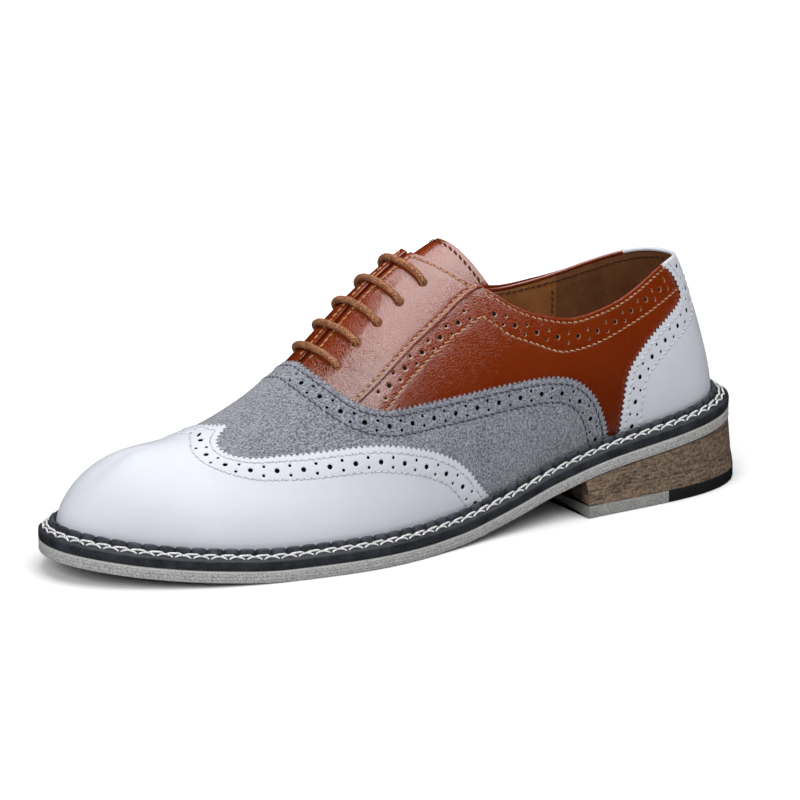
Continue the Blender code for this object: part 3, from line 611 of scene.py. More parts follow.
# Painted light on the rand, from its grooves up to its pillows' tops; the rest of the welt keeps one
# level.
rand_shading = np.full(welt_rows.shape[:2], 0.25)
rand_shading[:, RAND_ROWS] = pillow[:, None] ** 2.0
faces, _, _ = grid_faces(*welt_rows.shape[:2], True, True)
add_piece("storm_welt", welt_rows.reshape(-1, 3), faces[:, ::-1].tolist(), welt_finish,
          ["welt"], marks={"rand_shading": rand_shading.ravel()}, crease=50.0)

# Welt stitching
# Two rows of thick waxed white thread that lock the welt to the sole: straight stitches next to
# the rand and, half a stitch along, arched ones outside them, sunk in the welt's slope.
WELT_PITCH = 6.7
WELT_THREAD = 0.41
STITCH_INSET = 1.5


def tube_rings(path, up, radius, sides):
    """Rings of points round each path, square to its own direction and counted from its side."""
    travel = unit(np.gradient(path, axis=-2))
    side = unit(np.cross(travel, up))
    lift = np.cross(side, travel)
    turn = np.linspace(0.0, 2.0 * np.pi, sides, endpoint=False)[:, None]
    spoke = np.cos(turn) * side[..., None, :] + np.sin(turn) * lift[..., None, :]
    return path[..., None, :] + np.asarray(radius)[..., None, None] * spoke


def add_threads(name, centre, along, side, up, shape, radius, material, slot, sides=6):
    """One closed tube for each stitch, all in one mesh.

    shape holds places along, to the side of and above each stitch's centre; radius is the
    thread's radius at each of them.
    """
    ahead, across, above = shape.T[:, None, :, None]
    path = centre[:, None] + ahead * along[:, None] + across * side[:, None] + above * up[:, None]
    tube = tube_rings(path, up[:, None], radius, sides)
    count, rings = tube.shape[:2]
    faces, _, _ = grid_faces(rings, sides, False, True)
    ends = np.stack([np.arange(sides), (rings - 1) * sides + np.arange(sides)[::-1]])
    start = (np.arange(count) * rings * sides)[:, None, None]
    walls, caps = (faces[None] + start).reshape(-1, 4), (ends[None] + start).reshape(-1, sides)
    return add_piece(name, tube.reshape(-1, 3), walls.tolist() + caps.tolist(), material,
                     crease=60.0)


def thread_finish(name, dark, light):
    """Twisted waxed thread: pale strands with darker lines between them."""
    material, place, _ = new_finish(name, {"Specular IOR Level": 0.3})
    strand = place.noise(0.0006, 3.0)
    paint(material, strand.rise(0.3, 0.7).blend(dark, light), 0.6 + 0.2 * strand, strand, 0.4, 0.0002)
    return material


white_thread = thread_finish("welt_thread", (0.50, 0.50, 0.50), (0.95, 0.95, 0.95))
stitch_count = int(round(even_shares(1, STITCH_INSET)[1] / WELT_PITCH))
stitch_shares, _ = even_shares(stitch_count, STITCH_INSET)
stitch_stops = np.append(stitch_shares, 2.0)


def welt_frame(share, place):
    """Centre, run, outward side and upward normal of the welt's slope at each share."""
    centre = on_welt(share, place)
    along = unit(on_welt(share + 0.001, place) - on_welt(share - 0.001, place))
    outward = unit(on_welt(share, place - 0.05) - on_welt(share, place + 0.05))
    up = unit(np.cross(along, outward))
    return centre, along, outward, np.where(up[:, 2:] < 0.0, -up, up)


spread = np.linspace(-1.0, 1.0, 7)
dash = np.column_stack([2.85 * spread, 0.22 * spread, 0.28 - 0.50 * spread ** 6])
arch = np.column_stack([2.95 * spread, 0.80 * spread ** 2 - 0.30, 0.28 - 0.45 * spread ** 6])
body = WELT_THREAD * (1.0 - 0.35 * spread ** 6)
for name, place_on, shape, first in (
    ("welt_stitch_inner", 0.74, dash, 0.0), ("welt_stitch_outer", 0.40, arch, 0.5),
):
    shares = (1.0 - first) * stitch_stops[:-1] + first * stitch_stops[1:]
    add_threads(name, *welt_frame(shares, place_on), shape, body, white_thread, "white_leather")

# Insole
# A leather board with a natural sock over it, laid on the sole inside the welt. The solid already
# has its shape, so it keeps its mesh and gets a worn leather finish.
sock_finish, place, _ = new_finish("insole_sock", {"Specular IOR Level": 0.3})
wear = place.noise(0.02, 4.0)
grain = place.noise(0.0006, 3.0)
paint(sock_finish, (0.7 * wear + 0.3 * grain).blend((0.24, 0.115, 0.045), (0.44, 0.25, 0.11)),
      0.5 + 0.2 * wear, grain, 0.4, 0.0002)
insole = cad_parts["insole"]
insole.data.materials.clear()
insole.data.materials.append(sock_finish)

# Backing and lining
# A canvas interlining, coloured near black, shows through the punched holes: partly its own dark
# colour, partly painted shade for the depths of the holes. Inside it the quarters are lined with
# smooth tan leather, and the heel with a browner grip leather, joined by an upright seam each side.
THROAT_X = 193.0
FACING_GAP = 2.6
# Rows of a place along the collar, seen from the side, and its height
TOPLINE = np.array([
    (15.0, 90.5), (30.0, 91.0), (40.0, 89.1), (53.0, 85.0), (66.0, 81.4), (79.0, 79.3), (91.0, 78.9),
    (97.0, 80.1), (107.0, 83.1), (116.0, 87.7), (124.5, 93.6), (132.0, 98.0), (139.0, 103.2),
    (145.0, 106.0), (153.0, 110.0),
])
TOP_Z = curve_through(TOPLINE[:, 0], TOPLINE[:, 1])
BACKING_END = 0.625
BACKING_LIFT = -0.65
GRIP_SHARE = 0.30
LINING_LIFT = -2.0
SEAM = 0.0005
ON_CREST = 0.9999


def on_rib(share, height):
    """Points of the last: a cubic curve from the foot of each rib to the crest."""
    foot, wall, shoulder, top, _ = rib(share)
    t = np.asarray(height, float)[..., None]
    low = (1.0 - t) ** 3 * foot + 3.0 * t * (1.0 - t) ** 2 * wall
    return low + 3.0 * t ** 2 * (1.0 - t) * shoulder + t ** 3 * top


def tangents(share, height):
    """Tangents of the last along share and height, and its outward normal."""
    step = 0.0001
    along = (on_rib(share + step, height) - on_rib(share - step, height)) / (2.0 * step)
    upward = (on_rib(share, height + step) - on_rib(share, height - step)) / (2.0 * step)
    normal = np.cross(upward, along)
    slope = rib(share)[4]
    ridge = np.stack([-slope, np.zeros_like(slope), np.ones_like(slope)], axis=-1)
    normal = np.where((height > ON_CREST)[..., None], ridge, normal)
    return along, upward, unit(normal)


def last_surface(share, height, lift=0.0):
    """Points of the last, moved out from it by a lift along its normal."""
    values = [np.asarray(value, float) for value in (share, height, lift)]
    share, height, lift = np.broadcast_arrays(*values)
    return on_rib(share, height) + lift[..., None] * tangents(share, height)[2]


def rim_height(share):
    """Height on each rib of the collar, the lacing gap or, ahead of the throat, the crest."""
    share = np.asarray(share, float)
    steps = np.linspace(0.3, 1.0, 281)
    points = on_rib(share[:, None], steps[None, :])
    above = points[..., 2] - TOP_Z(points[..., 0])[..., 0]
    inside = np.where(points[..., 0] > HEEL_BREAST, 0.5 * FACING_GAP - np.abs(points[..., 1]), -1.0)
    past = np.where(RIB_SHAPE(share)[..., :1] < THROAT_X, np.maximum(above, inside), -1.0)
    past = np.where((points[..., 0] > TOPLINE[-1, 0]) & (inside < 0.0), -1.0, past)
    beyond = past > 0.0
    k = np.clip(np.argmax(beyond, axis=1), 1, None)
    row = np.arange(len(share))
    part = past[row, k - 1] / (past[row, k - 1] - past[row, k] + 1e-12)
    return np.where(beyond.any(axis=1), steps[k - 1] + part * (steps[1] - steps[0]), 1.0)


def add_skins(name, outer, inner, material, replaced=(), marks=None):
    """Closed sheet between two grids of points, its outer and its inner skin."""
    skins = np.concatenate([outer, inner[:, ::-1]], axis=1)
    count, rows = skins.shape[:2]
    faces, _, _ = grid_faces(count, rows, False, True)
    k = np.arange(rows // 2 - 1)
    end = np.stack([k, k + 1, rows - 2 - k, rows - 1 - k], axis=-1)
    every = np.concatenate([faces[:, ::-1], end[:, ::-1], (count - 1) * rows + end])
    return add_piece(name, skins.reshape(-1, 3), every.tolist(), material, replaced, marks=marks)


def add_wall(name, shares, low, high, outer, inner, rows, material, replaced=(), skive=0.0):
    """Closed wall of the lining over a span of shares, from height low to high, between two lifts.

    skive draws the wall outward at its top edge.
    """
    t = np.append(np.linspace(0.0, 0.88, rows - 6), [0.905, 0.93, 0.95, 0.97, 0.985, 1.0])
    high = np.broadcast_to(high, shares.shape)[:, None]
    height = low + (high - low) * t
    share = shares[:, None]
    drawn = skive * np.clip(1.0 - (high - height) / 0.045, 0.0, 1.0) ** 1.5
    return add_skins(name, last_surface(share, height, outer + drawn),
                     last_surface(share, height, inner + drawn), material, replaced)


canvas_and_shade_finish, place, _ = new_finish("backing_canvas_and_hole_shade",
                                     {"Roughness": 0.95, "Specular IOR Level": 0.1})
# Near black: the canvas's own dark colour with painted shade for the depths of the punched holes.
paint(canvas_and_shade_finish, place.noise(0.0008).blend((0.010, 0.008, 0.008), (0.030, 0.024, 0.022)),
      relief=place.noise(0.0005), strength=0.4, depth=0.0002)
lining_finish, place, _ = new_finish("quarter_lining", {"Specular IOR Level": 0.3})
soft = place.noise(0.012, 3.0)
grain = place.noise(0.0005, 3.0)
tone = (0.7 * soft + 0.3 * grain).rise(0.25, 0.75)
paint(lining_finish, tone.blend((0.24, 0.086, 0.024), (0.37, 0.148, 0.046)),
      0.50 + 0.2 * soft, grain + 0.6 * soft, 0.4, 0.00025)
grip_finish, place, _ = new_finish("heel_grip", {"Specular IOR Level": 0.2})
soft = place.noise(0.010, 3.0)
nap = place.noise(0.0006, 3.0)
tone = (0.5 * soft + 0.5 * nap).rise(0.3, 0.7)
paint(grip_finish, tone.blend((0.128, 0.047, 0.019), (0.215, 0.088, 0.037)),
      0.72 + 0.2 * nap, nap, 0.5, 0.0003)

backing_shares = np.linspace(-BACKING_END, BACKING_END, 241)
add_wall("interlining", backing_shares, 0.004, rim_height(backing_shares % 2.0) - 0.040,
         BACKING_LIFT, -1.35, 26, canvas_and_shade_finish, ["upper"])
toe_shares = np.linspace(BACKING_END + SEAM, 2.0 - BACKING_END - SEAM, 161)
add_wall("toe_interlining", toe_shares, 0.004, 0.997, BACKING_LIFT, -1.95, 26, canvas_and_shade_finish)
for name, low, high, material in (
    ("lining_lateral", GRIP_SHARE + SEAM, BACKING_END, lining_finish),
    ("lining_medial", -BACKING_END, -GRIP_SHARE - SEAM, lining_finish),
    ("heel_grip", -GRIP_SHARE, GRIP_SHARE, grip_finish),
):
    shares = np.linspace(low, high, 121)
    add_wall(name, shares, 0.02, rim_height(shares % 2.0) - 0.010, -1.40, LINING_LIFT, 28, material,
             skive=0.85)

# Quarters
# Red-brown polished calf cut in two halves that meet at the lacing gap. A punched band runs below
# the facings and the collar between two rows of tan thread; the hide is coloured darker
# towards the bottom.
STITCH_PITCH = 2.8
LARGE_HOLE = 1.0
SMALL_HOLE = 0.64
HOLE_PITCH = 10.0
HOLE_SPREAD = 1.85
# Millimetres of leather to a share of 1 and to a height of 1, laid flat
FLAT = np.array([330.0, 75.0])
PINK_PITCH = 2.25
PINK_DEPTH = 1.25
PANEL_SPACING = 2.0
NO_THREAD = 3.0
STITCH_SUNK = 0.12
TUCK = 2.8
ABOVE_FOOT = 0.012
COLLAR_END = 0.446
LEAN = 0.094
# Edges, seams and eyelets: share round the last, and height on its rib from 0 at the foot to 1
VAMP_EDGE = np.array([
    (0.614, 1), (0.611, 0.898), (0.603, 0.774), (0.591, 0.655), (0.576, 0.563), (0.553, 0.492),
    (0.521, 0.448), (0.481, 0.406), (0.436, 0.362), (0.402, 0.326), (0.377, 0.292), (0.357, 0.241),
    (0.342, 0.166), (0.333, 0.08), (0.328, 0.018), (0.3265, 0),
])
COUNTER_EDGE = np.array([
    (0.1760, 0.520), (0.1530, 0.480), (0.1460, 0.435), (0.1600, 0.405), (0.2110, 0.373),
    (0.2580, 0.334), (0.2890, 0.286), (0.3050, 0.236), (0.3110, 0.175), (0.3140, 0.105),
    (0.3150, 0.018), (0.3152, 0.000),
])
FACING_SEAM = np.array([
    (0.611, 0.572), (0.588, 0.583), (0.566, 0.594), (0.555, 0.599), (0.535, 0.613), (0.516, 0.627),
    (0.491, 0.642), (0.47, 0.661), (0.451, 0.668),
])
BAND_LINE = np.array([
    (0.567, 0.484), (0.554, 0.504), (0.533, 0.536), (0.51, 0.558), (0.49, 0.573), (0.472, 0.58),
    (0.453, 0.584),
])
COLLAR_LINE = np.array([
    (0.453, 0.584), (0.442, 0.538), (0.43, 0.489), (0.414, 0.446), (0.395, 0.399), (0.377, 0.369),
    (0.355, 0.358), (0.33, 0.36), (0.298, 0.376), (0.26, 0.396), (0.203, 0.421), (0.139, 0.436),
    (0.11, 0.44),
])
EYELETS = np.array([
    (0.589, 0.792), (0.568, 0.802), (0.546, 0.797), (0.522, 0.799), (0.497, 0.802),
])
EYELET_RADIUS = 1.75
QUARTER_LIFT = 0.0


def evenly(edge, pitch, smooth=True):
    """Rows of share and height resampled at about an even pitch in millimetres, and their runs."""
    rows = np.asarray(edge, float)
    if smooth:
        fine = np.linspace(0.0, len(rows) - 1.0, 40 * len(rows))
        rows = curve_through(np.arange(len(rows)), rows)(fine)
    run = run_along(on_rib(*rows.T))
    count = max(int(round(run[-1] / pitch)), 1)
    stops = np.linspace(0.0, run[-1], count + 1)
    return np.column_stack([np.interp(stops, run, values) for values in rows.T]), stops


def over_last(share, height, vector):
    """Steps of share and height that move a point of the last along a vector in its surface."""
    along, upward, _ = tangents(share, height)
    a, b, c = (along * along).sum(-1), (along * upward).sum(-1), (upward * upward).sum(-1)
    p, q = (along * vector).sum(-1), (upward * vector).sum(-1)
    spread = np.maximum(a * c - b * b, 1e-9)
    return np.stack([p * c - q * b, a * q - b * p], axis=-1) / spread[..., None]


def sideways(path):
    """Directions over the last: along a path of shares and heights, and to its right."""
    along, upward, normal = tangents(path[:, 0], path[:, 1])
    step = np.gradient(path, axis=0)
    travel = unit(step[:, :1] * along + step[:, 1:] * upward)
    return travel, unit(np.cross(travel, normal)), normal


def shifted(path, distance):
    """Path moved to its right over the last by a distance in millimetres, in small steps."""
    moved = np.array(path, float)
    reach = np.broadcast_to(np.asarray(distance, float), len(moved))
    for _ in range(4):
        side = sideways(moved)[1]
        moved = moved + over_last(moved[:, 0], moved[:, 1], 0.25 * reach[:, None] * side)
        moved[:, 1] = np.minimum(moved[:, 1], 1.0)
    return moved


def pinked(edge, outward):
    """Edge cut into small teeth: a zigzag about the edge, to its right when outward is 1."""
    base, _ = evenly(edge, 0.25 * PINK_PITCH)
    wave = np.tile([-0.5, 0.0, 0.5, 0.0], len(base) // 4 + 1)[:len(base)]
    wave[0] = wave[-1] = 0.0
    return np.where(np.arange(len(base))[:, None] % (len(base) - 1) > 0,
                    shifted(base, outward * PINK_DEPTH * wave), base)


def brogue_row(centre, first=1):
    """Punched row along a centre line: large holes from the first spot on, small pairs between them."""
    spots = evenly(centre, 0.5 * HOLE_PITCH, False)[0][1:-1]
    large, small = spots[first::2], spots[1 - first::2]
    pairs = [shifted(small, HOLE_SPREAD), shifted(small, -HOLE_SPREAD)]
    return [(large, LARGE_HOLE)] + [(pair, SMALL_HOLE) for pair in pairs]


def rings_of(spots, radius, sides):
    """Circles of a radius over the last round each spot, as shares and heights."""
    along, _, normal = tangents(spots[:, 0], spots[:, 1])
    first = unit(along)
    second = np.cross(normal, first)
    turn = np.linspace(0.0, 2.0 * np.pi, sides, endpoint=False)
    spoke = np.cos(turn)[:, None] * first[:, None] + np.sin(turn)[:, None] * second[:, None]
    share, height = np.repeat(spots.T[..., None], sides, axis=2)
    return spots[:, None] + over_last(share, height, radius * spoke)


def within(points, loop):
    """True for points inside a closed loop: an odd number of its edges cross to their right."""
    x, y = points[:, :1], points[:, 1:]
    ax, ay = loop[:, 0], loop[:, 1]
    bx, by = np.roll(ax, -1), np.roll(ay, -1)
    crossing = (ay > y) != (by > y)
    slope = (bx - ax) / np.where(by == ay, 1e-9, by - ay)
    return ((crossing & (x < ax + (y - ay) * slope)).sum(axis=1) % 2) == 1


def loop_area(loop):
    """Area inside a closed loop, above 0 when it runs counter-clockwise."""
    x, y = loop.T
    return 0.5 * (x * np.roll(y, -1) - y * np.roll(x, -1)).sum()


def distance_to(points, others):
    """Distance over the last, in millimetres, from each point to the nearest of the others."""
    here, there = on_rib(points[:, 0], points[:, 1]), on_rib(others[:, 0], others[:, 1])
    parts = [np.linalg.norm(chunk[:, None] - there[None], axis=2).min(axis=1)
             for chunk in np.array_split(here, max(len(here) // 200, 1))]
    return np.concatenate(parts)


def eased(t):
    """Smooth step of t from 0 at 0 to 1 at 1."""
    t = np.clip(t, 0.0, 1.0)
    return t * t * (3.0 - 2.0 * t)


def leaned(share, height, medial):
    """Places of a panel on one side of the shoe, leaned to the outer side near the toe's crest."""
    across = np.where(medial, 1.0, -1.0) * (1.0 - height)
    ahead = np.clip((share - 0.63) / 0.06, 0.0, 1.0) * np.clip((1.0 - share) / 0.1, 0.0, 1.0)
    near = np.clip(1.0 - 4.0 * across ** 2, 0.0, 1.0) ** 2
    across = across - LEAN * near * eased(ahead)
    return np.where(across > 0.0, 2.0 - share, share), 1.0 - np.abs(across)


def marked(points, sink=0.0, run=0.0, side=NO_THREAD, rim=0.0):
    """Points of a panel with their values: sinking, run of and distance to a row, rim of a hole."""
    values = [np.broadcast_to(value, len(points)) for value in (sink, run, side, rim)]
    return np.column_stack([points] + values)


def cut_panel(outline, rolled, sink, holes, rows):
    """Pattern piece cut flat in share and height, as marked points and triangles.

    outline is its closed loop, whose first points, rolled in number, are sunk; an edge sunk over
    0.3 is a fold and is rounded off. holes are (spots, radius) and rows are stitch paths with
    their runs; both leave rows of points round them.
    """
    sunk = np.where(np.arange(len(outline)) < rolled, sink, 0.0)
    loops, fixed, marks = [np.arange(len(outline))], [marked(outline, sunk)], []
    count = len(outline)
    inward = 1.0 if loop_area(outline) > 0.0 else -1.0
    for distance, left in ((0.2, 0.08), (0.5, 0.0)):
        fold = shifted(outline, inward * distance)[sunk > 0.3]
        fold = fold[distance_to(fold, outline) > 0.8 * distance] if len(fold) else fold
        marks.append(marked(fold, left))
    for spots, radius in holes:
        spots = spots[within(spots, outline) & (distance_to(spots, outline) > radius + 0.7)]
        sides = 14 if radius > 1.2 else 12 if radius > 0.7 else 9
        rings, near, far = (rings_of(spots, radius + wider, sides) for wider in (0.0, 0.30, 0.75))
        for ring, collar in zip(rings, np.concatenate([near, far], axis=1)):
            fixed.append(marked(ring, 0.14, rim=1.0))
            marks.append(marked(collar))
            loops.append(np.arange(count, count + sides))
            count += sides
    barrier = np.vstack([points[:, :2] for points in fixed])
    for path, run in rows:
        for offset, dip in ((0.0, 0.10), (0.7, 0.0), (-0.7, 0.0)):
            line = shifted(path, offset) if offset else path
            clear = distance_to(line, barrier) > 0.45
            marks.append(marked(line, dip, run, abs(offset))[clear])
    steps = PANEL_SPACING / FLAT
    low, high = outline.min(axis=0), outline.max(axis=0)
    share, height = np.meshgrid(*(np.arange(low[k], high[k], steps[k]) for k in (0, 1)), indexing="ij")
    share = share + (np.arange(share.shape[1]) % 2) * 0.5 * steps[0]
    filling = np.column_stack([share.ravel(), height.ravel()])
    filling = filling[within(filling, outline)]
    taken = np.vstack([barrier] + [mark[:, :2] for mark in marks])
    marks.append(marked(filling[distance_to(filling, taken) > 0.55 * PANEL_SPACING]))
    marks = np.vstack(marks)
    marks = marks[within(marks[:, :2], outline)]
    table = np.vstack(fixed + [marks])
    flat = [Vector(point) for point in (table[:, :2] * FLAT).tolist()]
    turned = [loop if loop_area(table[loop, :2]) > 0.0 else loop[::-1] for loop in loops]
    turned = [loop.tolist() for loop in turned]
    spots, _, triangles, source, _, origin = delaunay_2d_cdt(flat, [], turned, 0, 1e-5, True)
    first = np.array([row[0] if row else -1 for row in source])
    values = marked(np.array([tuple(spot) for spot in spots]) / FLAT)
    values[first >= 0, 2:] = table[first[first >= 0], 2:]
    kept = [triangle for triangle, parts in zip(triangles, origin) if list(parts) == [0]]
    return values, np.array(kept)


def panel_layers(values, triangles, lift, thick, medial, joined):
    """Leather of a cut panel laid on one side of the last: points, faces of its skins and its edges.

    joined marks the points on a line where the two sides of the shoe meet.
    """
    share, height = leaned(values[:, 0], values[:, 1], medial)
    level = lift(values[:, 0], values[:, 1]) if callable(lift) else lift
    top = last_surface(share, height, level - values[:, 2])
    bottom = last_surface(share, height, level - thick)
    faces = triangles if medial else triangles[:, ::-1]
    edges = np.concatenate([faces[:, [0, 1]], faces[:, [1, 2]], faces[:, [2, 0]]])
    key = edges.min(axis=1) * len(values) + edges.max(axis=1)
    _, where, times = np.unique(key, return_index=True, return_counts=True)
    rim = edges[where[times == 1]]
    rim = rim[~(joined[rim[:, 0]] & joined[rim[:, 1]])]
    walls = np.column_stack([rim[:, ::-1], rim + len(values)])
    skins = np.concatenate([faces, faces[:, ::-1] + len(values)])
    return np.concatenate([top, bottom]), skins, walls


def add_panel(name, cut, lift, thick, material, replaced=(), joined=None):
    """Cut panel laid on both sides of the shoe as one piece, welded where its halves meet."""
    values, triangles = cut
    joined = np.zeros(len(values), bool) if joined is None else joined(values[:, 0], values[:, 1])
    shared = np.tile(joined, 2)
    tags = np.tile(values[:, 3:], (2, 1))
    outer, skins, walls = panel_layers(values, triangles, lift, thick, False, joined)
    faces = skins.tolist() + walls.tolist()
    inner, skins, walls = panel_layers(values, triangles, lift, thick, True, joined)
    number = np.where(shared, np.arange(len(shared)), len(shared) + np.cumsum(~shared) - 1)
    faces += number[skins].tolist() + number[walls].tolist()
    marks = np.vstack([tags, tags[~shared]]).T
    return add_piece(name, np.vstack([outer, inner[~shared]]), faces, material, replaced,
                     marks=dict(zip(("thread_run", "thread_side", "hole_rim_highlight"), marks)))


def stitch_row(edge, inset, smooth=True):
    """Row of stitches beside an edge: a path at half the stitch pitch, and its run."""
    path, _ = evenly(edge, 1.0, smooth)
    return evenly(shifted(path, inset) if inset else path, 0.5 * STITCH_PITCH, False)


def stitch_shape(half, rise):
    """Path of one short stitch, slanted and drawn in at its ends, and its thread's radius along it."""
    spread = np.linspace(-1.0, 1.0, 5)
    path = np.column_stack([half * spread, 0.26 * spread, rise - 0.30 * spread ** 4])
    return path, 0.34 * (1.0 - 0.4 * spread ** 4)


def add_stitches(name, rows, lift, material, slot, outline=None, clear=0.0, sunk=STITCH_SUNK, face=1.0):
    """Sewn rows on both sides of the shoe: one short thread between each two needle holes.

    Stitches outside an outline, or not clear of it, are left out. face is 1 on the outer face of
    the leather and -1 on the inner one.
    """
    frames = []
    for path, _ in rows:
        middle = path[1::2]
        if outline is not None:
            middle = middle[within(middle, outline) & (distance_to(middle, outline) >= clear)]
        if len(middle) < 2:
            continue
        for medial in (False, True):
            place = np.column_stack(leaned(*middle.T, medial))
            travel, side, normal = sideways(place)
            level = (lift(*middle.T) if callable(lift) else lift) - sunk
            frames.append((last_surface(*place.T, level), travel, side, face * normal))
    parts = [np.concatenate(part) for part in zip(*frames)]
    return add_threads(name, *parts, *stitch_shape(0.368 * STITCH_PITCH, 0.16), material, slot, sides=5)


def needle_holes(place):
    """Pits where the needle went through and the groove along the row, from the points' values."""
    side = place.kept("thread_side")
    apart = place.kept("thread_run").apart(STITCH_PITCH)
    distance = (apart * apart + side * side) ** 0.5
    return 1.0 - distance.rise(0.26, 0.56), 1.0 - side.rise(0.0, 0.95)


def tan_leather(name, light, dark, low_z, high_z):
    """Polished calf: fine pores, soft clouding, coloured darker towards a lower level."""
    material, place, _ = new_finish(name, {"IOR": 2.5})
    cloud = place.noise(0.022, 4.0)
    pores = place.cells(0.0009)
    fine = place.noise(0.0004, 3.0)
    pits, groove = needle_holes(place)
    darker_low = (place.axis("Z") * 1000.0 + 14.0 * cloud).rise(low_z, high_z)
    tone = (0.55 * darker_low + 0.45 * cloud + 0.08 * fine).rise(0.10, 0.95)
    # Needle holes are painted near black: painted shade in the pits.
    colour = (0.85 * pits).blend(tone.blend(dark, light), (0.018, 0.006, 0.003))
    # The rims of the punched holes are painted paler: a painted highlight on their edges.
    colour = (0.75 * place.kept("hole_rim_highlight").rise(0.15, 0.8)).blend(colour, (0.62, 0.30, 0.17))
    wrinkle = place.noise(0.0028, 3.0, (1.0, 1.0, 0.55))
    dent = place.noise(0.012, 1.0)
    relief = 0.22 * pores.rise(0.0, 0.16) + 0.10 * fine + 1.5 * dent + 0.75 * wrinkle
    relief = relief - 1.3 * pits - 0.25 * groove
    paint(material, colour, 0.05 + 0.08 * cloud + 0.3 * pits, relief, 0.5, 0.00032)
    return material


calf_finish = tan_leather("quarter_calf", (0.255, 0.033, 0.0042), (0.165, 0.0195, 0.0032), 40.0, 88.0)
tan_thread = thread_finish("tan_thread", (0.36, 0.14, 0.055), (0.80, 0.46, 0.25))


def straight(start, end):
    """Path between two places of share and height, straight in both."""
    return evenly(np.linspace(start, end, 60), 2.0, False)[0]


def rim_line(start, end, pitch=1.2):
    """Path along the collar or the lacing gap between two shares."""
    share = np.linspace(start, end, 400)
    return evenly(np.column_stack([share, rim_height(share)]), pitch, False)[0]


fine = np.linspace(0.5, 0.7, 201)
throat_share = float(np.interp(THROAT_X, RIB_SHAPE(fine)[:, 0], fine))
gap_end = throat_share - 0.0015
rim = rim_line(0.085, gap_end)
under_vamp = shifted(evenly(VAMP_EDGE[1:], 2.0)[0], TUCK)
under_vamp = under_vamp[under_vamp[:, 1] > ABOVE_FOOT]
under_counter = shifted(evenly(COUNTER_EDGE, 2.0)[0], -TUCK)
under_counter = under_counter[(under_counter[:, 1] > ABOVE_FOOT) & (under_counter[:, 1] < 0.45)]
quarter_foot = straight((under_vamp[-1, 0], 0.0), (under_counter[-1, 0], 0.0))
quarter_outline = np.vstack([rim, under_vamp, quarter_foot, under_counter[::-1]])

quarter_rows = [stitch_row(rim_line(0.10, COLLAR_END - 0.002, 1.0), -1.6, False),
                stitch_row(BAND_LINE, 0.0), stitch_row(COLLAR_LINE, 0.0)]
band_middle = np.array([
    (0.566, 0.546), (0.559, 0.555), (0.541, 0.576), (0.524, 0.588), (0.506, 0.595), (0.487, 0.602),
    (0.471, 0.61), (0.457, 0.62),
])
collar_middle = np.array([
    (0.45, 0.606), (0.437, 0.552), (0.418, 0.489), (0.398, 0.444), (0.378, 0.409), (0.357, 0.394),
    (0.335, 0.39), (0.312, 0.4), (0.286, 0.416), (0.256, 0.434), (0.214, 0.451), (0.159, 0.47),
])
quarter_holes = brogue_row(evenly(band_middle, 1.0)[0]) + brogue_row(evenly(collar_middle, 1.0)[0], 0)
quarter_holes.append((EYELETS, EYELET_RADIUS))
quarter_cut = cut_panel(quarter_outline, len(rim), 0.2, quarter_holes, quarter_rows)
add_panel("quarters", quarter_cut, QUARTER_LIFT, 0.6, calf_finish, ["upper"])
add_stitches("quarter_stitches", quarter_rows, QUARTER_LIFT, tan_thread, "tan_leather",
             quarter_outline)

# Facings
# A second layer of the same calf, polished brighter, carries five punched eyelets a side. Its seam
# is turned under and sewn to the quarter; the lacing edge and the top edge have their own rows.
FACING_LIFT = 0.85
FACING_ROW = 2.2

facing_finish = tan_leather("facing_calf", (0.265, 0.036, 0.0052), (0.15, 0.021, 0.0040), 55.0, 95.0)

facing_rim = rim_line(COLLAR_END + 0.001, gap_end)
facing_under = shifted(evenly(VAMP_EDGE[:6], 1.5)[0], 2.6)
facing_under = facing_under[(facing_under[:, 1] < 0.985) & (facing_under[:, 1] > 0.565)]
facing_seam = evenly(FACING_SEAM, 1.2)[0][:-1]
facing_seam = facing_seam[facing_seam[:, 0] < facing_under[-1, 0] - 0.001]
facing_outline = np.vstack([facing_seam, facing_rim, facing_under])
corner_share = float(facing_rim[np.argmax(facing_rim[:, 1] > 0.955), 0])
top_edge = rim_line(COLLAR_END + 0.003, corner_share - 0.001, 1.0)
lacing_edge = rim_line(corner_share + 0.006, throat_share - 0.004, 1.0)
facing_rows = [stitch_row(FACING_SEAM, -2.0), stitch_row(top_edge, -FACING_ROW, False),
               stitch_row(lacing_edge, -FACING_ROW, False)]
facing_cut = cut_panel(facing_outline, len(facing_seam) + len(facing_rim), 0.34,
                       [(EYELETS, EYELET_RADIUS)], facing_rows)
add_panel("facings", facing_cut, FACING_LIFT, 0.8, facing_finish,
          ["facing_lateral", "facing_medial"])
add_stitches("facing_stitches", facing_rows, FACING_LIFT, tan_thread, "tan_leather", facing_outline, 1.5)

# Vamp
# Blue-grey suede from the wing back along the welt, its upper edge pinked and lapped over the
# quarters and the facings' ends. Two rows of navy thread hold it, with a punched row between them.
WING_EDGE = np.array([
    (0.7035, 1), (0.7084, 0.974), (0.7157, 0.945), (0.7213, 0.901), (0.7224, 0.841), (0.7191, 0.779),
    (0.7117, 0.716), (0.6997, 0.656), (0.683, 0.600), (0.661, 0.555), (0.638, 0.514), (0.599, 0.456),
    (0.566, 0.397), (0.535, 0.334), (0.509, 0.275), (0.488, 0.206), (0.475, 0.133), (0.464, 0.056),
    (0.459, 0.018), (0.4575, 0),
])
BAND_STITCH = (2.4, 9.7)
BAND_HOLES = 6.0
PINKED_SINK = 0.14


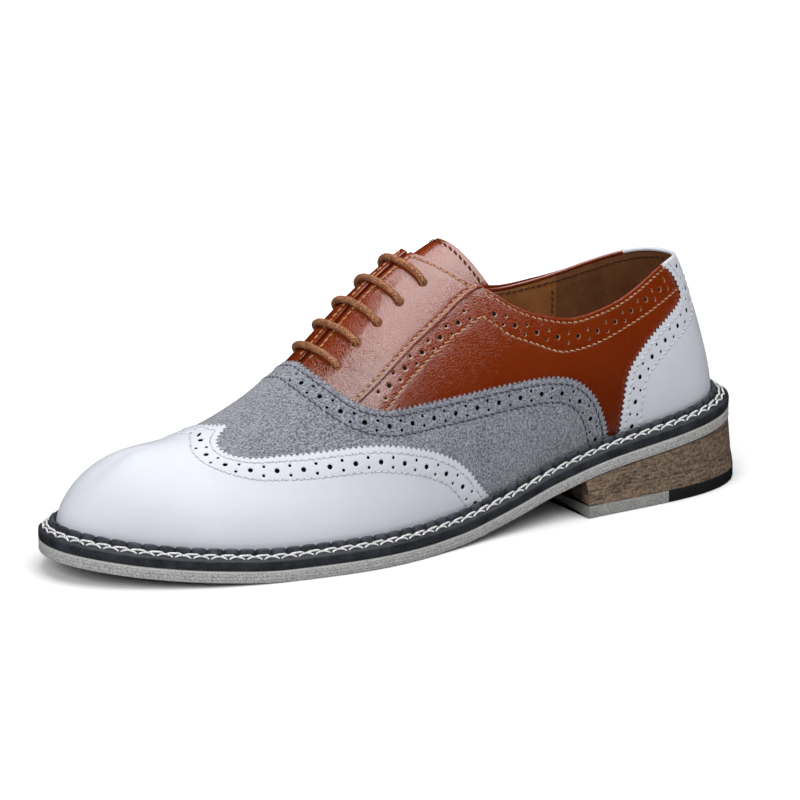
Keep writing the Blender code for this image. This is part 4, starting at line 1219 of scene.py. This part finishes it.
def vamp_lift(share, height):
    """Vamp's face above the last: higher along the edge where it laps the facings."""
    ahead = share - np.interp(height, VAMP_EDGE[::-1, 1], VAMP_EDGE[::-1, 0])
    lapped = np.clip((height - 0.40) / 0.10, 0.0, 1.0) * np.clip(1.6 - ahead / 0.030, 0.0, 1.0)
    return 0.85 + 0.5 * eased(lapped)


def suede(name, light, dark):
    """Napped suede: a mottle of short fibres that lie in patches, dull all over."""
    material, place, _ = new_finish(name, {"Specular IOR Level": 0.12, "Sheen Weight": 0.5,
                                           "Sheen Roughness": 0.45})
    patch = place.noise(0.010, 3.0)
    nap = place.noise(0.0009, 1.0).rise(0.34, 0.66)
    fibre = place.noise(0.0005, 1.0).rise(0.34, 0.66)
    pits, groove = needle_holes(place)
    tone = 0.3 * patch - 0.05 + 0.45 * nap + 0.35 * fibre
    # Needle holes are painted dark navy: painted shade in the pits.
    colour = (0.55 * pits).blend(tone.blend(dark, light), (0.030, 0.033, 0.047))
    relief = nap + 0.8 * fibre - 1.2 * pits - 0.8 * groove
    paint(material, colour, 0.86 + 0.1 * nap, relief, 0.9, 0.0006)
    return material


def add_banded(name, stitches, edge, inward, closing, lift, thick, material, thread, slot, node, joined):
    """Panel with a pinked edge, two sewn rows beside it and a punched row between them.

    inward is 1 where the panel lies to the right of its edge and -1 to the left; closing holds
    the lines that close its outline after the edge.
    """
    teeth = pinked(edge, -inward)
    outline = np.vstack([teeth, *closing])
    rows = [stitch_row(edge, inward * inset) for inset in BAND_STITCH]
    holes = brogue_row(shifted(evenly(edge, 1.0)[0], inward * BAND_HOLES))
    cut = cut_panel(outline, len(teeth), PINKED_SINK, holes, rows)
    add_panel(name, cut, lift, thick, material, [node], joined)
    add_stitches(stitches, rows, lift, thread, slot, outline)


suede_finish = suede("vamp_suede", (0.55, 0.57, 0.675), (0.070, 0.073, 0.090))
navy_thread = thread_finish("navy_thread", (0.030, 0.033, 0.048), (0.12, 0.127, 0.16))

under_wing = shifted(evenly(WING_EDGE, 2.0)[0], TUCK)
under_wing[0, 1] = 1.0
under_wing = under_wing[under_wing[:, 1] > ABOVE_FOOT]
vamp_foot = straight((VAMP_EDGE[-1, 0], 0.0), (under_wing[-1, 0], 0.0))
vamp_crest = straight((under_wing[0, 0], 1.0), (VAMP_EDGE[0, 0], 1.0))
add_banded("vamp_panel", "vamp_stitches", VAMP_EDGE, 1.0,
           [vamp_foot[1:], under_wing[::-1], vamp_crest[1:-1]], vamp_lift, 0.45, suede_finish,
           navy_thread, "grey_suede", "vamp", lambda share, height: height > ON_CREST)

# Wing cap
# Smooth white calf drawn over the toe, with a peak on top and a wing down each side. Its edge is
# pinked, sewn twice in white and punched between the rows.
wing_path, _ = evenly(WING_EDGE, 1.0)


def wing_lift(share, height):
    """Wing's face above the last: proud of the vamp along its edge, then drawn close to the last."""
    inside = distance_to(np.column_stack([share, height]), wing_path)
    return 1.35 - 0.85 * eased((inside - 3.0) / 12.0)


def white_leather(name):
    """Smooth white calf: a faint grain, soft cool clouding and a light gloss."""
    material, place, _ = new_finish(name, {"Specular IOR Level": 0.25, "Coat Weight": 0.08,
                                           "Coat Roughness": 0.2})
    cloud = place.noise(0.030, 4.0)
    grain = place.cells(0.0011)
    fine = place.noise(0.0006, 3.0)
    pits, groove = needle_holes(place)
    colour = cloud.rise(0.25, 0.75).blend((0.675, 0.697, 0.765), (0.72, 0.742, 0.81))
    # Needle holes and the groove along each row are painted grey: painted shade.
    colour = (0.62 * pits + 0.06 * groove).blend(colour, (0.20, 0.20, 0.22))
    relief = 0.16 * grain.rise(0.0, 0.2) + 0.10 * fine + 0.5 * cloud - 1.2 * pits - 0.5 * groove
    paint(material, colour, 0.34 + 0.14 * cloud, relief, 0.28, 0.0003)
    return material


white_finish = white_leather("wing_white")
pale_thread = thread_finish("pale_thread", (0.50, 0.51, 0.54), (0.80, 0.81, 0.84))

wing_foot = straight((WING_EDGE[-1, 0], 0.0), (1.0, 0.0))
toe_line = straight((1.0, 0.0), (1.0, 1.0))
toe_crest = straight((1.0, 1.0), (WING_EDGE[0, 0], 1.0))
add_banded("wing_tip", "wing_stitches", WING_EDGE, 1.0, [wing_foot[1:], toe_line[1:], toe_crest[1:-1]],
           wing_lift, 0.5, white_finish, pale_thread, "white_leather", "wing_cap",
           lambda share, height: (height > ON_CREST) | (share > 0.99999))

# Heel counter
# The same white calf wrapped round the heel and lapped over the quarters, pinked, punched and sewn
# like the wing. It runs up over the collar at the back of the heel.
counter_rim = rim_line(0.0, COUNTER_EDGE[0, 0])


def counter_lift(share, height):
    """Counter's face above the last, skived thinner up to the collar."""
    below = np.interp(share, counter_rim[:, 0], counter_rim[:, 1]) - height
    return 0.85 - 0.40 * np.clip(1.0 - below / 0.06, 0.0, 1.0) ** 1.5


counter_foot = straight((COUNTER_EDGE[-1, 0], 0.0), (0.0, 0.0))
heel_line = straight((0.0, 0.0), (0.0, counter_rim[0, 1]))
add_banded("counter_panel", "counter_stitches", COUNTER_EDGE, -1.0,
           [counter_foot[1:], heel_line[1:], counter_rim[1:-1]], counter_lift, 0.4, white_finish,
           pale_thread, "white_leather", "heel_counter", lambda share, height: share < 0.00001)

# Collar roll
# The calf is skived and turned over the top edge into the lining, as a thin round roll. At the heel
# the roll is the counter's own white leather. Brown thread sews the lining below it.
ROLL_INNER = -1.25
SEAM_SHARE = GRIP_SHARE + 0.006


def unsewn(count):
    """Values of points that no row of stitches is near."""
    return {"thread_run": np.zeros(count), "thread_side": np.full(count, NO_THREAD)}


def add_roll(name, shares, outer, material):
    """Half-round roll carried along the collar, from the outer face over to the lining."""
    rim = rim_height(shares % 2.0)
    _, upward, normal = tangents(shares, rim)
    turn = np.linspace(0.0, np.pi, 9)
    middle, reach = 0.5 * (outer + ROLL_INNER), 0.5 * (outer - ROLL_INNER)
    top = np.column_stack([middle + reach * np.cos(turn), -0.25 + 0.6 * np.sin(turn)])
    under = [(ROLL_INNER, -0.75), (-0.8, -0.9), (outer - 0.4, -1.0)]
    out, up = np.vstack([[(outer, -1.0)], top, under]).T[:, None, :, None]
    tube = on_rib(shares, rim)[:, None] + out * normal[:, None] + up * unit(upward)[:, None]
    count, rows = tube.shape[:2]
    faces, _, _ = grid_faces(count, rows, False, True)
    ends = [list(range(rows))[::-1], list(range((count - 1) * rows, count * rows))]
    return add_piece(name, tube.reshape(-1, 3), faces[:, ::-1].tolist() + ends, material,
                     marks=unsewn(count * rows), crease=60.0)


def lining_level(share, height):
    """Lining's face below the last, along its upright seam or below the collar."""
    return np.where(np.abs(share - SEAM_SHARE) < 1e-4, LINING_LIFT, -1.75)


brown_thread = thread_finish("brown_thread", (0.045, 0.014, 0.007), (0.16, 0.06, 0.03))
seam_top = rim_height(np.array([GRIP_SHARE]))[0] - 0.06
seam_path = np.linspace((SEAM_SHARE, 0.04), (SEAM_SHARE, seam_top), 40)
lining_rows = [stitch_row(rim_line(0.004, COLLAR_END - 0.002, 1.0), -3.2, False),
               stitch_row(seam_path, 0.0, False)]
add_stitches("lining_stitches", lining_rows, lining_level, brown_thread, "lining_leather", sunk=0.0,
             face=-1.0)
heel_end = COUNTER_EDGE[0, 0]
for name, low, high, outer, material, slot in (
    ("collar_roll_lateral", heel_end, COLLAR_END, 0.12, calf_finish, "tan_leather"),
    ("collar_roll_medial", -COLLAR_END, -heel_end, 0.12, calf_finish, "tan_leather"),
    ("collar_roll_heel", -heel_end, heel_end, 0.55, white_finish, "white_leather"),
):
    add_roll(name, np.linspace(low, high, 120), outer, material)

# Tongue
# A curved sheet of the facings' calf under the lacing gap, standing up above the collar. Its edges
# are skived thin and its top edge is sewn once round.
TONGUE_START = 0.622
TONGUE_TOP_MIDDLE = 0.461
TONGUE_TOP_SIDE = 0.438
TONGUE_SIDE = 0.66
TONGUE_DEPTH = (2.5, 3.3)
TONGUE_THICK = 1.6
TONGUE_SKIVE = 0.45
TONGUE_ROW = 0.972


def tongue_sheet(along, across, sink):
    """Points of the tongue: along from its start to its top, across from side to side, and sunk."""
    height = 1.0 - (1.0 - TONGUE_SIDE) * np.abs(across) * (0.8 + 0.2 * along)
    top = TONGUE_TOP_MIDDLE + (TONGUE_TOP_SIDE - TONGUE_TOP_MIDDLE) * np.abs(across) ** 1.5
    share = TONGUE_START + (top - TONGUE_START) * along
    depth = TONGUE_DEPTH[0] + (TONGUE_DEPTH[1] - TONGUE_DEPTH[0]) * np.minimum(4.0 * along, 1.0)
    share, height, depth = np.broadcast_arrays(share, height, depth + sink)
    return last_surface(np.where(across < 0.0, 2.0 - share, share), height, -depth)


along, across = np.meshgrid(np.linspace(0.0, 1.0, 81), np.linspace(-1.0, 1.0, 61), indexing="ij")
skive = TONGUE_SKIVE * np.maximum(np.abs(across) ** 14, along ** 26)
add_skins("tongue_sheet", tongue_sheet(along, across, skive),
          tongue_sheet(along, across, TONGUE_THICK - skive), facing_finish, ["tongue"],
          unsewn(2 * along.size))

row = np.linspace(-0.97, 0.97, 400)
run = run_along(tongue_sheet(TONGUE_ROW, row, 0.0))
row = np.interp(np.arange(0.5 * STITCH_PITCH, run[-1], STITCH_PITCH), run, row)
centre = tongue_sheet(TONGUE_ROW, row, 0.0)
travel = unit(np.gradient(centre, axis=0))
up = unit(centre - tongue_sheet(TONGUE_ROW, row, 1.0))
add_threads("tongue_stitches", centre, travel, unit(np.cross(travel, up)), up,
            *stitch_shape(1.05, 0.12), brown_thread, "tan_leather", sides=5)

# Lace
# One waxed round cord, braided, pulled in straight bars through the five pairs of eyelets. Each bar
# lies on the facings and dives through its eyelets; the hidden ends stop inside the top pair.
LACE_RADIUS = 1.42
LACE_SAG = 0.0125
LACE_BEND = 0.03
LACE_UP = np.array([0.25, 0.0, 1.0])
LACE_SIDES = 14

lace_finish, place, layout = new_finish("waxed_cord", {"Specular IOR Level": 0.4})
run, turn = layout.axis("X"), layout.axis("Y")
right = (run * 0.9 + turn * 6.0).apart(1.0).rise(0.05, 0.40)
left = (run * 0.9 - turn * 6.0).apart(1.0).rise(0.05, 0.40)
braid = right * left
fuzz = place.noise(0.0009, 2.0).rise(0.3, 0.7)
# The cord is painted darker along the grooves between its braided strands: painted shade.
tone = (0.55 * braid + 0.55 * fuzz).rise(0.05, 0.95)
paint(lace_finish, tone.blend((0.14, 0.048, 0.019), (0.60, 0.268, 0.132)),
      0.48 + 0.2 * fuzz, braid + 0.3 * fuzz, 0.5, 0.0003)


def add_cord(name, path, replaced):
    """Round cord along a path, closed at its ends, its UV the run in millimetres and the turn."""
    tube = tube_rings(path, LACE_UP, LACE_RADIUS, LACE_SIDES)
    faces, column, row = grid_faces(len(path), LACE_SIDES, False, True)
    layout = np.stack([run_along(path)[column], row / LACE_SIDES], axis=-1).reshape(-1, 2)
    layout = np.concatenate([layout, np.zeros((2 * LACE_SIDES, 2))])
    ring = np.arange(LACE_SIDES)
    ends = [ring.tolist(), ((len(path) - 1) * LACE_SIDES + ring)[::-1].tolist()]
    return add_piece(name, tube.reshape(-1, 3), faces.tolist() + ends, lace_finish,
                     [replaced], layout, crease=60.0)


bar_rows = np.array([(1.03, -2.4), (1.03, -0.6), (0.985, 1.0), (0.90, 2.0), (0.76, 2.28),
                     (0.45, 2.28), (0.0, 2.2)])
bar_rows = np.vstack([bar_rows, bar_rows[-2::-1] * [-1.0, 1.0]])
bar_curve = curve_through(np.arange(len(bar_rows)), bar_rows)
slide, bar_lift = bar_curve(np.linspace(0.0, len(bar_rows) - 1.0, 61)).T
for number, (share, height) in enumerate(EYELETS, start=1):
    level = np.minimum(1.0 - (1.0 - height) * np.abs(slide), 1.0)
    forward = share + LACE_SAG * (1.0 - np.sqrt(slide ** 2 + LACE_BEND))
    path = last_surface(np.where(slide < 0.0, 2.0 - forward, forward), level, bar_lift)
    add_cord("lace_bar_%d_cord" % number, path, "lace_bar_%d" % number)
